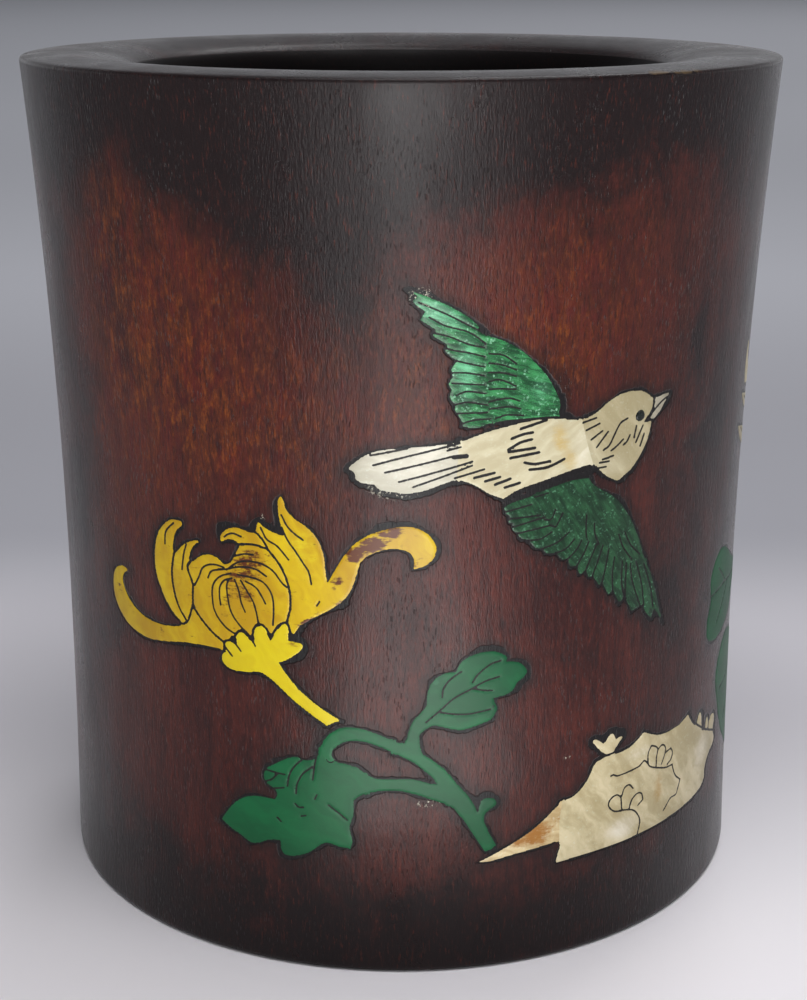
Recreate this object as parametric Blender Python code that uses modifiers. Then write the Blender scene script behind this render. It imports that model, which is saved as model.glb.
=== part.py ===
"""Brush holder pot: a bored hardwood log with a bird, flowers, leaves and a rock inlaid flush.

The pot stands on z = 0 with its axis on Z. An inlay group is drawn as flat outlines on the
plane that touches the pot at the group's azimuth: u runs round the pot and z runs up, both in
millimetres. Azimuth 0 faces -Y and +90 faces +X. Each outline is extruded into a prism along
the azimuth and cut to a thin turned layer under the pot's surface, so every inlay is curved
like the pot, and the same prism grown by a hair cuts its pocket in the wood.
"""

import math

import bmesh
import bpy
import numpy as np
from mathutils import Matrix, Vector
from mathutils.geometry import delaunay_2d_cdt

MM = 0.001
WELD = 0.0000002

# The turned pot
HEIGHT = 160.0
RIM_RADIUS = 72.35  # outer corner of the rim
RIM_CORNER_Z = 159.15
WAIST_RADIUS = 68.1
WAIST_Z = 54.0
FOOT_RADIUS = 68.8
FOOT_ROUND = 1.2
BORE_RADIUS = 50.0
LIP_Z = 157.2

# The bottom, let into a rebate from below
REBATE_RADIUS = 57.0
FOOT_RECESS = 2.5  # the bottom sits this far above the floor
BASE_THICKNESS = 8.0
PLUG_RADIUS = 14.0
FIT = 0.3

# Inlay work
INLAY_THICKNESS = 1.2
POCKET_DEPTH = 1.5
POCKET_GAP = 0.35
EYE_CENTRE = (24.65, 101.15)
EYE_RADIUS = 1.1
EYE_SOCKET_RADIUS = 1.35

PRISM_NEAR = 45.0  # an inlay's prism runs between these two distances from the axis
PRISM_FAR = 80.0

STEPS = 72  # facets round the turned pieces
MAX_TURN = math.radians(20)  # a smooth outline turns less than this at each point
SHARP = "sharp"  # a corner of an outline
NOTCH = "notch"  # a corner between two feather tips, which the pocket passes over

# Group name: azimuth in degrees
AZIMUTH = {"bird": 16, "flower": -19, "leaf": -4, "rock": 38, "side": 84}

WOOD = (0.085, 0.022, 0.012)
IVORY_SHELL = (0.78, 0.72, 0.56)
GREEN_SHELL = (0.07, 0.33, 0.18)
GREEN_BONE = (0.035, 0.25, 0.13)
YELLOW_SHELL = (0.83, 0.55, 0.04)
LEMON_SHELL = (0.85, 0.66, 0.06)
GOLD_SHELL = (0.72, 0.52, 0.20)
HORN = (0.02, 0.025, 0.025)
GREY_SHELL = (0.48, 0.45, 0.38)

OUTLINES = {
    # Bird
    "bird_tail": (
        (-9.7, 99.95, SHARP), (-14, 99.5), (-18.5, 99.15), (-22, 98.8), (-24.6, 97.9),
        (-26.4, 96.5), (-27.7, 95.2, SHARP), (-26.5, 94.6), (-26.2, 93.4), (-25, 92.65),
        (-23.3, 92.5, SHARP), (-22.3, 91.5), (-20.4, 91.2), (-18, 90.9), (-15, 91.4),
        (-12.3, 92.4), (-9.95, 93.2, SHARP),
    ),
    "bird_torso": (
        (-9.35, 100, SHARP), (-6, 101.2), (-2.5, 102.1), (2, 102.7), (7, 102.85),
        (12.3, 102.25, SHARP), (13.5, 98), (15, 93.85, SHARP), (11, 93.2), (6, 92),
        (1, 90.7), (-1.6, 89.3, SHARP), (-4, 90.3), (-7, 92.2), (-9.6, 93.2, SHARP),
    ),
    "bird_head": (
        (12.7, 102.2, SHARP), (15.2, 103.1), (17.6, 104.7), (20, 105.75), (22.3, 106),
        (24.8, 105.7), (26.6, 104.7), (27.5, 103.7, SHARP), (27.25, 101.9), (25.8, 99.9, SHARP),
        (27.5, 99.65, SHARP), (27, 97.2), (25.8, 94.6), (23.6, 91.8), (20.5, 89.8, SHARP),
        (17.6, 91.4), (15.4, 93.8, SHARP), (13.9, 98),
    ),
    "bird_beak": (
        (27.85, 103.85, SHARP), (29.6, 104.2), (31.6, 104.4, SHARP), (30.7, 103),
        (29.5, 101.3), (28.2, 100.1, SHARP), (26.6, 100.35, SHARP), (27.65, 101.9), (27.95, 103),
    ),
    "upper_wing_flight": (
        (-18.9, 126.2, SHARP), (-15.5, 125), (-11.5, 123.2), (-8, 121), (-5.5, 118.4, SHARP),
        (-5.5, 114), (-5.35, 110), (-5, 106.5), (-4.2, 102.9, SHARP), (-6, 102.2),
        (-8.8, 102.4), (-9.3, 103.6, NOTCH), (-10.4, 105.4), (-10.5, 106.4, NOTCH),
        (-11.4, 107.8), (-11, 108.9, NOTCH), (-11.6, 110), (-10.9, 111.2, NOTCH),
        (-11.2, 112.4), (-10.4, 113.7, NOTCH), (-12.4, 115.6, SHARP), (-11.9, 116.6, NOTCH),
        (-14.5, 118.2, SHARP), (-13.9, 119.2, NOTCH), (-16.4, 120.8, SHARP),
        (-15.6, 122.2, NOTCH), (-17.8, 123.9, SHARP), (-16.9, 124.8, NOTCH),
    ),
    "upper_wing_coverts": (
        (-4.95, 118, SHARP), (-2.6, 117.2), (0.5, 115.5), (3.5, 112.9), (6.2, 109.8),
        (8, 106.5), (8.4, 104.8), (8.1, 103.9), (8.8, 103.1, SHARP), (4.5, 103.45),
        (0.5, 103.3), (-3.6, 102.9, SHARP), (-4.5, 106.3), (-4.9, 110.2), (-5.05, 114),
    ),
    "lower_wing_coverts": (
        (4.4, 90.05, SHARP), (8, 91), (11.5, 91.65), (14.5, 91.6, SHARP), (15.6, 90.1),
        (18.6, 88.2), (21.2, 86.1), (23.8, 82.6), (25.7, 78.9), (27, 75.6),
        (27.8, 73.8, SHARP), (26.2, 74.4), (24.7, 74.6), (22.9, 75.4), (20.8, 77.4),
        (18.9, 79.1), (16.9, 79.8), (14.9, 80.5, SHARP), (12.6, 81.5), (10.3, 82.8),
        (8.8, 83.6, SHARP), (7.7, 84.8), (6.2, 85.8, SHARP), (5.6, 87.3), (4.8, 88.6),
    ),
    "lower_wing_flight": (
        (-1.4, 88.1), (1, 89), (4, 89.75, SHARP), (4.4, 88.4), (5.2, 87), (5.75, 85.6, SHARP),
        (7.3, 84.4), (8.45, 83.2, SHARP), (10.1, 82.4), (12.5, 81.1), (14.7, 80.1, SHARP),
        (16.7, 79.4), (18.6, 78.7), (20.5, 77), (22.7, 75), (24.6, 74.2), (26, 74),
        (27.9, 73.35, SHARP), (29.3, 70.8), (30.5, 67.6), (31.7, 63.8), (33.1, 59.6, SHARP),
        (30.4, 63.6, NOTCH), (29.8, 61.8, SHARP), (28.3, 63.4), (27.2, 65.2, NOTCH),
        (24.8, 64.6, SHARP), (23, 67.8, NOTCH), (22, 66.6, SHARP), (20.4, 69.4, NOTCH),
        (19.4, 68.9, SHARP), (18, 71.5, NOTCH), (17.3, 71, SHARP), (15.9, 73.2, NOTCH),
        (15.2, 72.6, SHARP), (14.4, 74.4, NOTCH), (13.2, 73.8), (12.6, 75.6, NOTCH),
        (11.1, 75.7), (10.8, 77.2, NOTCH), (9.6, 77.1), (8.4, 78.6, NOTCH), (6.6, 78.6),
        (5.7, 79.7, NOTCH), (4.4, 79.9), (2.9, 81.5, NOTCH), (1.6, 82), (0.9, 83, NOTCH),
        (0.1, 83.6), (0, 84.8, NOTCH), (-0.7, 85.2), (-0.5, 86.2, NOTCH), (-1.3, 86.8),
    ),
    # Big flower
    "petal_curl_left": (
        (-31.7, 69.95, SHARP), (-33.5, 70.4), (-35.3, 69.6), (-36.4, 67.9), (-36.7, 66),
        (-36.5, 64), (-35.7, 62.1), (-34.4, 60.5), (-32.5, 59.1), (-29.8, 58.2), (-26.8, 57.9),
        (-23, 58.4), (-18.5, 59.3), (-14, 59.65), (-10.2, 59.7, SHARP), (-10.05, 60.6),
        (-10.4, 61.2, SHARP), (-12.2, 62.3), (-14.3, 64.1), (-16.3, 66.3, SHARP),
        (-16.9, 64.7), (-17.6, 63.35, SHARP), (-18.7, 62.75, SHARP), (-21.5, 62),
        (-24.5, 61.75), (-27.3, 62), (-29.2, 62.6), (-31, 63.6), (-32.4, 64.8),
        (-33.2, 66.2), (-33.6, 67.4), (-33.4, 68.4), (-32.8, 69.2),
    ),
    "petal_tall_left": (
        (-18.75, 63.1, SHARP), (-20.2, 63.9), (-21.8, 65.5), (-23.3, 67.9), (-24.5, 70.7),
        (-24.9, 73.6), (-24.6, 76.6), (-23.7, 79.3), (-22.2, 81.2), (-20.6, 82.3),
        (-19, 82.6), (-17.9, 82.3), (-18, 81.4), (-19.2, 80.3), (-19.9, 78.5),
        (-20.3, 76.3), (-20.45, 75.1, SHARP), (-20.95, 72.5), (-20.75, 69.5), (-20.05, 66.8),
        (-19.1, 65), (-18, 63.65, SHARP),
    ),
    "petal_small_left": (
        (-20.1, 75.3, SHARP), (-19.2, 76.9), (-17.9, 78.2), (-16.3, 79.1), (-14.9, 79.6),
        (-14, 79.4), (-15.1, 78.6), (-16, 77.4), (-16.55, 76), (-16.8, 75.1, SHARP),
        (-17.3, 74.4), (-17.1, 72.9), (-16.35, 71), (-16.4, 69), (-16.6, 67.2, SHARP),
        (-17.15, 65.3), (-17.65, 63.95, SHARP), (-18.75, 65.2), (-19.7, 67), (-20.4, 69.6),
        (-20.6, 72.4),
    ),
    "petal_top_curl": (
        (-9.75, 79.75, SHARP), (-10.05, 80.6), (-9.6, 81.7), (-8.4, 82.7), (-6.5, 83.15),
        (-4.6, 82.8), (-2.6, 82.2, SHARP), (-1.8, 81.3), (-1.05, 80.2, SHARP), (-3.5, 80.55),
        (-6, 80.3), (-7.4, 80.55), (-8.6, 80.45),
    ),
    "flower_heart": (
        (-16.25, 75, SHARP), (-15.4, 75.9), (-14, 76.9), (-12.2, 77.35), (-10.6, 77),
        (-9.3, 76, SHARP), (-8.3, 76.4), (-7.5, 77.4), (-6.9, 78.7), (-6.1, 79.85, SHARP),
        (-3.5, 80.15), (-0.95, 79.65, SHARP), (1, 77.4), (2.3, 74.9), (3, 72), (3, 69.5),
        (2.35, 66.95, SHARP), (1.4, 66.65), (0.3, 65.6), (-0.65, 64.1, SHARP), (-1.3, 65.3),
        (-2.3, 66), (-3.3, 65.8), (-4.1, 64.7), (-4.3, 63, SHARP), (-5, 63.5), (-6, 64.2),
        (-7, 64), (-7.75, 63.1, SHARP), (-8.6, 62.25), (-10.1, 61.6, SHARP), (-11.9, 62.75),
        (-14, 64.6), (-15.8, 66.8), (-16.05, 69.1), (-15.95, 71.1), (-16.7, 73.1),
        (-16.85, 74.3),
    ),
    "petals_right": (
        (-2.9, 82.9, SHARP), (-2.75, 84), (-2.25, 84.95, SHARP), (-1.4, 84), (0.3, 83.2),
        (2, 82.7, SHARP), (1.7, 84.4), (1.35, 86.4), (1.25, 88.4), (1.95, 89.75),
        (2.65, 88.8), (3, 87.4), (4.6, 85.8), (6.8, 84.4), (8.5, 82.4), (9.5, 79.6),
        (9.75, 76.8), (10, 74.9, NOTCH), (11.1, 77), (12.6, 79.6), (14.5, 82), (16.9, 83.7),
        (19.8, 84.8), (22.4, 85.3), (24.8, 85), (26.9, 83.6), (28, 81.4), (27.5, 79.3),
        (26, 77.9), (24.1, 77.3, SHARP), (24.2, 78.9), (23.6, 80.3), (21.8, 81),
        (19.4, 80.8), (17.2, 79.9), (15.7, 78.4), (15.1, 76.4), (14.3, 74), (12.9, 71.7),
        (10.8, 69.9), (7.5, 67.9), (5, 66.2), (3.6, 64.3, SHARP), (3.2, 65.7),
        (2.85, 67.1, SHARP), (3.4, 69.4), (3.4, 72.1), (2.7, 75.1), (1.4, 77.7),
        (-0.45, 79.95), (-1.35, 81.4), (-2.35, 82.5),
    ),
    "calyx_and_stem": (
        (-9.7, 59.6, SHARP), (-9.7, 60.6), (-9.2, 61.4), (-8.2, 61.6), (-7.4, 61.2, SHARP),
        (-7.4, 62.5), (-6.9, 63.35), (-6, 63.55), (-5, 62.9), (-3.95, 62.2, SHARP),
        (-3.8, 64), (-3.1, 65.1), (-2.2, 65.35), (-1.4, 64.6), (-0.65, 63.1, SHARP),
        (0.5, 64.8), (1.5, 65.9), (2.2, 66.3), (2.75, 65.3), (2.85, 63.4, SHARP),
        (4.6, 63.3), (5.5, 62.6), (4.6, 61.2), (2.6, 59.7), (1, 58.9, SHARP), (2.6, 56.7),
        (4.6, 54.4), (7.3, 52.2), (10, 50.4), (12.5, 49, SHARP), (11.1, 48.7),
        (9.5, 47.8, SHARP), (6.5, 49.8), (3, 52.4), (0, 55), (-1.8, 56.2), (-3.2, 56.6),
        (-5, 56.25), (-7.5, 56.05), (-9.4, 56.5), (-10.5, 57.7), (-10.4, 58.9),
    ),
    # Leaf spray
    "stem_arch": (
        (-9.45, 44, SHARP), (-9.1, 45.1), (-8, 46.5), (-6.3, 47.7), (-4.3, 48.1), (-2, 47.9),
        (0.5, 47.1), (3.3, 45.85, SHARP), (3.3, 43.3, SHARP), (1.3, 44.2), (-1.2, 45.1),
        (-3.3, 45.35), (-5.3, 44.9), (-6.8, 43.8), (-7.4, 42.7), (-7.1, 41.75, SHARP),
        (-7.9, 41.4), (-8.45, 42.2), (-8.85, 43.3),
    ),
    "leaf_left": (
        (-9.8, 43.7, SHARP), (-10.2, 42.4), (-11, 41.4), (-12.4, 41.1, SHARP), (-13.8, 41.55),
        (-15.6, 41.1), (-17.6, 39.9), (-19.4, 38.7), (-20.2, 37.3), (-19.8, 35.6),
        (-18.3, 34.6), (-17.75, 33.6), (-18.2, 32.7, SHARP), (-21, 32.8), (-23.6, 32.2),
        (-25.8, 30.6), (-27.4, 28.5), (-28.7, 26.5, SHARP), (-26.9, 25.2), (-25, 24.2),
        (-23, 23.1), (-21.2, 23.3), (-19.4, 24.2), (-17.3, 24.5, SHARP), (-17.2, 23),
        (-16.5, 21.9), (-14.3, 21.9), (-12, 22.8), (-10.2, 24.2), (-8.6, 25.2),
        (-6.7, 24.7), (-4.2, 24.3, SHARP), (-3.8, 26), (-4.3, 28.6), (-3.6, 31),
        (-3.5, 33.9, SHARP), (-2.4, 34.8), (-1.3, 35.3, SHARP), (-1.3, 39.25, SHARP),
        (-3, 40.5), (-5, 41.05), (-6.9, 41.2, SHARP), (-7.95, 40.9), (-8.8, 41.8),
        (-9.2, 42.9),
    ),
    "leaf_twig": (
        (-0.95, 39, SHARP), (0.6, 38.45), (3.4, 38.4), (6.8, 38.4), (9.3, 37.7),
        (11.2, 36.9, SHARP), (13.2, 32.95, SHARP), (10, 34.15), (7, 35.3), (4, 35.95),
        (1.3, 35.85), (-0.95, 35.45, SHARP),
    ),
    "stem_main": (
        (3.65, 45.7, SHARP), (5.35, 45, SHARP), (8.1, 43.5), (10.3, 42), (12.6, 40),
        (14.7, 37.2), (16.5, 34.9), (17.8, 32.7, NOTCH), (18.3, 31.5, NOTCH), (18.45, 32.5, NOTCH),
        (18.9, 33.6), (20, 34), (21.3, 33.6), (21.75, 32.8), (21.3, 31.9), (20.2, 31.2),
        (19.6, 30.3), (19.6, 29.3), (20.3, 27.5), (21.3, 25.4), (21.8, 24.3, SHARP),
        (20.7, 23.5), (19.6, 23.2, SHARP), (18.4, 25.2), (17, 27.6), (15.6, 30),
        (13.65, 32.75, SHARP), (11.65, 36.95, SHARP), (10, 38.6), (8.5, 40), (6.7, 41.5),
        (5, 42.4), (3.65, 43.15, SHARP),
    ),
    "leaf_upper": (
        (5.5, 45.4, SHARP), (5.9, 47.2), (6.7, 49.4), (8, 50.9), (9, 52.3), (9.1, 54),
        (9.6, 56), (10.9, 57.6), (12.6, 58.4), (14.1, 58.5, SHARP), (14.8, 60), (16.4, 61.2),
        (18.3, 61.8), (20.3, 61.9), (22.2, 61.3), (23.2, 60.3), (23, 59.7, NOTCH),
        (24.6, 59.5), (26, 58.6), (26.7, 57.3), (26, 56.1), (25, 55.3, SHARP), (24.4, 54.1),
        (23, 53.2), (20.9, 52.8, SHARP), (21.5, 51.3), (21.2, 49.7), (20.1, 48.6),
        (17.8, 47.8), (15.2, 47.2), (12.8, 47.7), (10.7, 48.3), (9.2, 47.7), (8.1, 46.4),
        (8.3, 43.9, SHARP),
    ),
    # Rock
    "rock_tip": (
        (-30.8, 21.3, SHARP), (-28, 22.6), (-24.8, 24.2), (-21.5, 26), (-18.8, 27.9),
        (-16.8, 29.6), (-15.2, 30.8, SHARP), (-15.7, 27), (-15.75, 23, SHARP), (-20.4, 22.4),
        (-25, 21.8), (-28.3, 21.2),
    ),
    "rock_face": (
        (-14.85, 30.95, SHARP), (-12.7, 31.5), (-11.3, 32.4), (-9.9, 33.9), (-8.9, 35.7),
        (-8, 37), (-6, 37.45), (-3, 37.6), (0, 37.9), (2.2, 38.9), (3.8, 40, SHARP),
        (5.8, 39), (8, 38.1), (11, 37.7), (15, 37.9), (18.2, 38.9, SHARP), (20, 36.5),
        (22.5, 34.6), (25.5, 32.6), (28.5, 31.2), (30.5, 30.3, SHARP), (31.6, 28.9),
        (31, 27.5), (29, 26.6), (27.5, 25.4), (26.7, 23.8), (26.6, 22), (24.4, 20.6),
        (20.5, 20), (15, 19.6), (8, 19.3), (0, 19.1), (-8, 19), (-16.3, 18.7, SHARP),
        (-15.9, 20.5), (-15.3, 22.7, SHARP), (-15.3, 27),
    ),
    "rock_floret": (
        (-5.3, 38, SHARP), (-6.6, 38.5), (-7.8, 39.7), (-8.8, 40.9), (-8.8, 41.5), (-8, 41.6),
        (-7.2, 41.1), (-6.3, 40.4, SHARP), (-5.8, 40.7), (-5.3, 41.4), (-4.5, 41.85),
        (-3.8, 41.5), (-3.3, 40.5, SHARP), (-2.6, 40.8), (-1.8, 40.7), (-1.6, 40.3),
        (-2.1, 39.8), (-2.8, 39.1), (-3.6, 38.3), (-4.4, 38, SHARP),
    ),
    "rock_petal_inner": (
        (22, 35.5, SHARP), (22.3, 36.6), (23.1, 37.3), (23.8, 37), (24.2, 35.8),
        (24.3, 34, SHARP),
    ),
    "rock_petal_middle": (
        (26, 32.95, SHARP), (26.2, 34.3), (26.8, 35), (27.4, 34.7), (27.5, 33.6),
        (27.4, 32.2, SHARP),
    ),
    "rock_petal_outer": (
        (27.95, 31.95, SHARP), (28.1, 33.3), (29, 34.4), (30.4, 34.3), (31.2, 33.3),
        (31.1, 32), (30.6, 30.75, SHARP),
    ),
    # Spray on the right side
    "side_leaf_high": (
        (-28, 51.5), (-28.6, 55.5), (-27.4, 59.2), (-28, 63), (-26.2, 66.8), (-22.5, 68.6),
        (-18, 67), (-13, 64), (-7.5, 62), (-2, 61), (4, 61.2), (10.4, 63.2, SHARP),
        (10.2, 60.9, SHARP), (4.5, 59), (-1.5, 58.3), (-6.5, 56.6), (-12, 53.2),
        (-17.5, 51), (-23, 50),
    ),
    "side_leaf_low": (
        (-16.5, 48.7), (-20.3, 46), (-22.3, 41.5), (-20.9, 36.4), (-18.6, 31.6),
        (-15.4, 27.2), (-10, 23), (-3.5, 19.3), (4, 16.6, SHARP), (7, 21), (9, 27),
        (8.9, 32.5), (10.1, 35.2, SHARP), (10, 37.4, SHARP), (5.6, 38.4), (0, 43),
        (-6, 46.3), (-12, 48.6),
    ),
    "side_stem": (
        (7.8, 84, SHARP), (10.6, 74.5), (11, 62.5), (8.8, 51), (10.7, 38), (12.8, 24, SHARP),
        (15.4, 24.4, SHARP), (13.3, 38.2), (11.4, 50.6), (13.7, 62.3), (13.3, 75),
        (10.4, 85, SHARP),
    ),
    "side_petal_low": (
        (-17, 91.3, SHARP), (-13.8, 88.3), (-8.5, 85.6), (-2.5, 84.3), (4.5, 85.2, SHARP),
        (0, 87.3), (-6, 88.6), (-12, 90.2),
    ),
    "side_petal_middle": (
        (-15.9, 97.6, SHARP), (-12, 94.4), (-6, 92.3), (0, 91.7), (4, 92.8, SHARP),
        (-2, 94.8), (-8.5, 95.9),
    ),
    "side_petal_top": (
        (-13.3, 99.2), (-13.9, 104), (-12.7, 108, SHARP), (-10.6, 103.6), (-6, 101),
        (-1.2, 102.6), (0.6, 106.4, SHARP), (2.4, 101.6), (1.6, 97.4), (-4, 97), (-9.5, 97.9),
    ),
    "side_bloom": (
        (5.5, 87), (4.9, 91), (5.6, 95.5), (4.2, 99.5), (5.6, 104.5), (8.5, 107.5, SHARP),
        (10, 103), (14.5, 105.5), (19.5, 104.6, SHARP), (16.5, 101), (20, 97),
        (22.5, 91.5, SHARP), (17, 90.5), (13, 87.2), (9, 86.1),
    ),
}

# Inlay: group, colour, roughness
INLAYS = {
    "bird_tail": ("bird", IVORY_SHELL, 0.35),
    "bird_torso": ("bird", IVORY_SHELL, 0.35),
    "bird_head": ("bird", IVORY_SHELL, 0.35),
    "bird_beak": ("bird", GREY_SHELL, 0.35),
    "upper_wing_flight": ("bird", GREEN_SHELL, 0.3),
    "upper_wing_coverts": ("bird", GREEN_SHELL, 0.3),
    "lower_wing_coverts": ("bird", GREEN_SHELL, 0.3),
    "lower_wing_flight": ("bird", GREEN_SHELL, 0.3),
    "petal_curl_left": ("flower", YELLOW_SHELL, 0.4),
    "petal_tall_left": ("flower", YELLOW_SHELL, 0.4),
    "petal_small_left": ("flower", YELLOW_SHELL, 0.4),
    "petal_top_curl": ("flower", YELLOW_SHELL, 0.4),
    "flower_heart": ("flower", YELLOW_SHELL, 0.4),
    "petals_right": ("flower", YELLOW_SHELL, 0.4),
    "calyx_and_stem": ("flower", LEMON_SHELL, 0.4),
    "stem_arch": ("leaf", GREEN_BONE, 0.45),
    "leaf_left": ("leaf", GREEN_BONE, 0.45),
    "leaf_twig": ("leaf", GREEN_BONE, 0.45),
    "stem_main": ("leaf", GREEN_BONE, 0.45),
    "leaf_upper": ("leaf", GREEN_BONE, 0.45),
    "rock_tip": ("rock", GOLD_SHELL, 0.35),
    "rock_face": ("rock", IVORY_SHELL, 0.35),
    "rock_floret": ("rock", IVORY_SHELL, 0.35),
    "rock_petal_inner": ("rock", IVORY_SHELL, 0.35),
    "rock_petal_middle": ("rock", IVORY_SHELL, 0.35),
    "rock_petal_outer": ("rock", IVORY_SHELL, 0.35),
    "side_leaf_high": ("side", GREEN_BONE, 0.45),
    "side_leaf_low": ("side", GREEN_BONE, 0.45),
    "side_stem": ("side", GREEN_BONE, 0.45),
    "side_petal_low": ("side", IVORY_SHELL, 0.35),
    "side_petal_middle": ("side", IVORY_SHELL, 0.35),
    "side_petal_top": ("side", IVORY_SHELL, 0.35),
    "side_bloom": ("side", IVORY_SHELL, 0.35),
}


def side_radius(z):
    """Outer radius at height z: a parabola below the waist and another above it."""
    if z < WAIST_Z:
        return WAIST_RADIUS + (FOOT_RADIUS - WAIST_RADIUS) * ((WAIST_Z - z) / WAIST_Z) ** 2
    rise = (z - WAIST_Z) / (RIM_CORNER_Z - WAIST_Z)
    return WAIST_RADIUS + (RIM_RADIUS - WAIST_RADIUS) * rise**2


def side_heights():
    """Ring heights of the outer side, from the rim corner down to the foot's rounding."""
    return np.linspace(RIM_CORNER_Z, FOOT_ROUND, 9)


def clear_scene():
    for obj in list(bpy.data.objects):
        bpy.data.objects.remove(obj, do_unlink=True)


def new_collection(name):
    collection = bpy.data.collections.new(name)
    bpy.context.scene.collection.children.link(collection)
    return collection


def material(name, colour, roughness):
    mat = bpy.data.materials.new(name)
    mat.use_nodes = True
    shader = mat.node_tree.nodes["Principled BSDF"]
    shader.inputs["Base Color"].default_value = (*colour, 1.0)
    shader.inputs["Roughness"].default_value = roughness
    mat.diffuse_color = (*colour, 1.0)
    return mat


def mesh_object(name, mesh, collection):
    obj = bpy.data.objects.new(name, mesh)
    collection.objects.link(obj)
    return obj


def applied(obj):
    """Replace an object's mesh by its evaluated one and drop the modifiers."""
    graph = bpy.context.evaluated_depsgraph_get()
    mesh = bpy.data.meshes.new_from_object(obj.evaluated_get(graph))
    old = obj.data
    obj.modifiers.clear()
    obj.data = mesh
    mesh.name = obj.name
    bpy.data.meshes.remove(old)
    return obj


def weld(obj):
    """Weld points that lie on top of each other and turn the faces outwards."""
    shape = bmesh.new()
    shape.from_mesh(obj.data)
    bmesh.ops.remove_doubles(shape, verts=shape.verts, dist=WELD)
    bmesh.ops.recalc_face_normals(shape, faces=shape.faces)
    shape.to_mesh(obj.data)
    shape.free()


def turned(name, profile, collection, closed):
    """Turn a profile of (radius, z) points, given down its outer side, round the Z axis."""
    count = len(profile)
    points = [(radius * MM, 0.0, z * MM) for radius, z in profile]
    edges = [(i, i + 1) for i in range(count - 1)]
    if closed:
        edges.append((count - 1, 0))
    mesh = bpy.data.meshes.new(name)
    mesh.from_pydata(points, edges, [])
    obj = mesh_object(name, mesh, collection)
    screw = obj.modifiers.new("turn", "SCREW")
    screw.steps = STEPS
    screw.render_steps = STEPS
    screw.use_merge_vertices = True
    screw.merge_threshold = 0.00001
    screw.use_smooth_shade = True
    applied(obj)
    weld(obj)
    return obj


def smooth_outline(points):
    """Sample an outline: a Hermite curve through its points, with corners where marked.

    A piece between two points gets more samples the more it turns, so a straight edge
    keeps its two ends and no more.
    """
    places = np.array([point[:2] for point in points], dtype=float)
    corner = [len(point) > 2 for point in points]
    count = len(places)
    sampled = []
    for i in range(count):
        start, end = places[i], places[(i + 1) % count]
        chord = end - start
        length = np.hypot(*chord)
        leave = chord if corner[i] else end - places[i - 1]
        arrive = chord if corner[(i + 1) % count] else places[(i + 2) % count] - start
        leave = leave / np.hypot(*leave) * length
        arrive = arrive / np.hypot(*arrive) * length
        turn = sum(
            math.acos(np.clip(np.dot(way, chord) / length**2, -1.0, 1.0))
            for way in (leave, arrive)
        )
        pieces = max(1, math.ceil(turn / MAX_TURN))
        for step in range(pieces):
            t = step / pieces
            sampled.append(
                (2 * t**3 - 3 * t**2 + 1) * start
                + (t**3 - 2 * t**2 + t) * leave
                + (3 * t**2 - 2 * t**3) * end
                + (t**3 - t**2) * arrive
            )
    sampled = np.array(sampled)
    following = np.roll(sampled, -1, axis=0)
    area = np.sum(sampled[:, 0] * following[:, 1] - following[:, 0] * sampled[:, 1])
    return sampled if area > 0 else sampled[::-1]


def grown(outline, gap):
    """Move every edge of a counterclockwise outline outwards by gap, with short mitres."""
    way = np.roll(outline, -1, axis=0) - outline
    way /= np.linalg.norm(way, axis=1)[:, None]
    normal = np.stack([way[:, 1], -way[:, 0]], axis=1)
    before = np.roll(normal, 1, axis=0)
    share = 1 + np.sum(normal * before, axis=1)
    shift = (normal + before) / np.maximum(share, 0.35)[:, None]
    return outline + gap * shift


def prism(name, outlines, group, collection):
    """Extrude outlines outwards from inside the wall, along their group's azimuth.

    Outlines that overlap become one region: a constrained triangulation of all of them
    gives both caps, and each edge that only one triangle uses becomes a side wall.
    """
    points = [Vector(point) for outline in outlines for point in outline]
    loops = []
    for outline in outlines:
        first = sum(len(loop) for loop in loops)
        loops.append(list(range(first, first + len(outline))))
    flat, _, faces, _, _, _ = delaunay_2d_cdt(points, [], loops, 1, WELD / MM)

    azimuth = math.radians(AZIMUTH[group])
    across = (math.cos(azimuth), math.sin(azimuth), 0.0)
    out = (math.sin(azimuth), -math.cos(azimuth), 0.0)
    frame = Matrix((across, (0.0, 0.0, 1.0), out)).transposed()
    shape = bmesh.new()
    near = [shape.verts.new(frame @ Vector((*point, PRISM_NEAR)) * MM) for point in flat]
    far = [shape.verts.new(frame @ Vector((*point, PRISM_FAR)) * MM) for point in flat]
    for face in faces:
        shape.faces.new([near[i] for i in reversed(face)])
        shape.faces.new([far[i] for i in face])
    used = {(face[i - 1], face[i]) for face in faces for i in range(3)}
    for start, end in sorted(used):
        if (end, start) not in used:
            shape.faces.new((near[start], near[end], far[end], far[start]))
    loose = [vert for vert in shape.verts if not vert.link_faces]
    bmesh.ops.delete(shape, geom=loose, context="VERTS")
    mesh = bpy.data.meshes.new(name)
    shape.to_mesh(mesh)
    shape.free()
    return mesh_object(name, mesh, collection)


def boolean(obj, other, operation):
    modifier = obj.modifiers.new(operation.lower(), "BOOLEAN")
    modifier.operation = operation
    modifier.solver = "EXACT"
    modifier.object = other
    applied(obj)
    weld(obj)
    return obj


def layer(name, depth, above, collection):
    """A turned shell from depth under the pot's side to a height above it."""
    heights = side_heights()
    outer = [(side_radius(z) + above, z) for z in heights]
    inner = [(side_radius(z) - depth, z) for z in heights[::-1]]
    return turned(name, outer + inner, collection, closed=True)


def disc(centre, radius):
    """A circle as an outline of sixteen points."""
    turn = np.linspace(0, 2 * math.pi, 16, endpoint=False)
    return np.stack([centre[0] + radius * np.cos(turn), centre[1] + radius * np.sin(turn)], 1)


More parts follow.
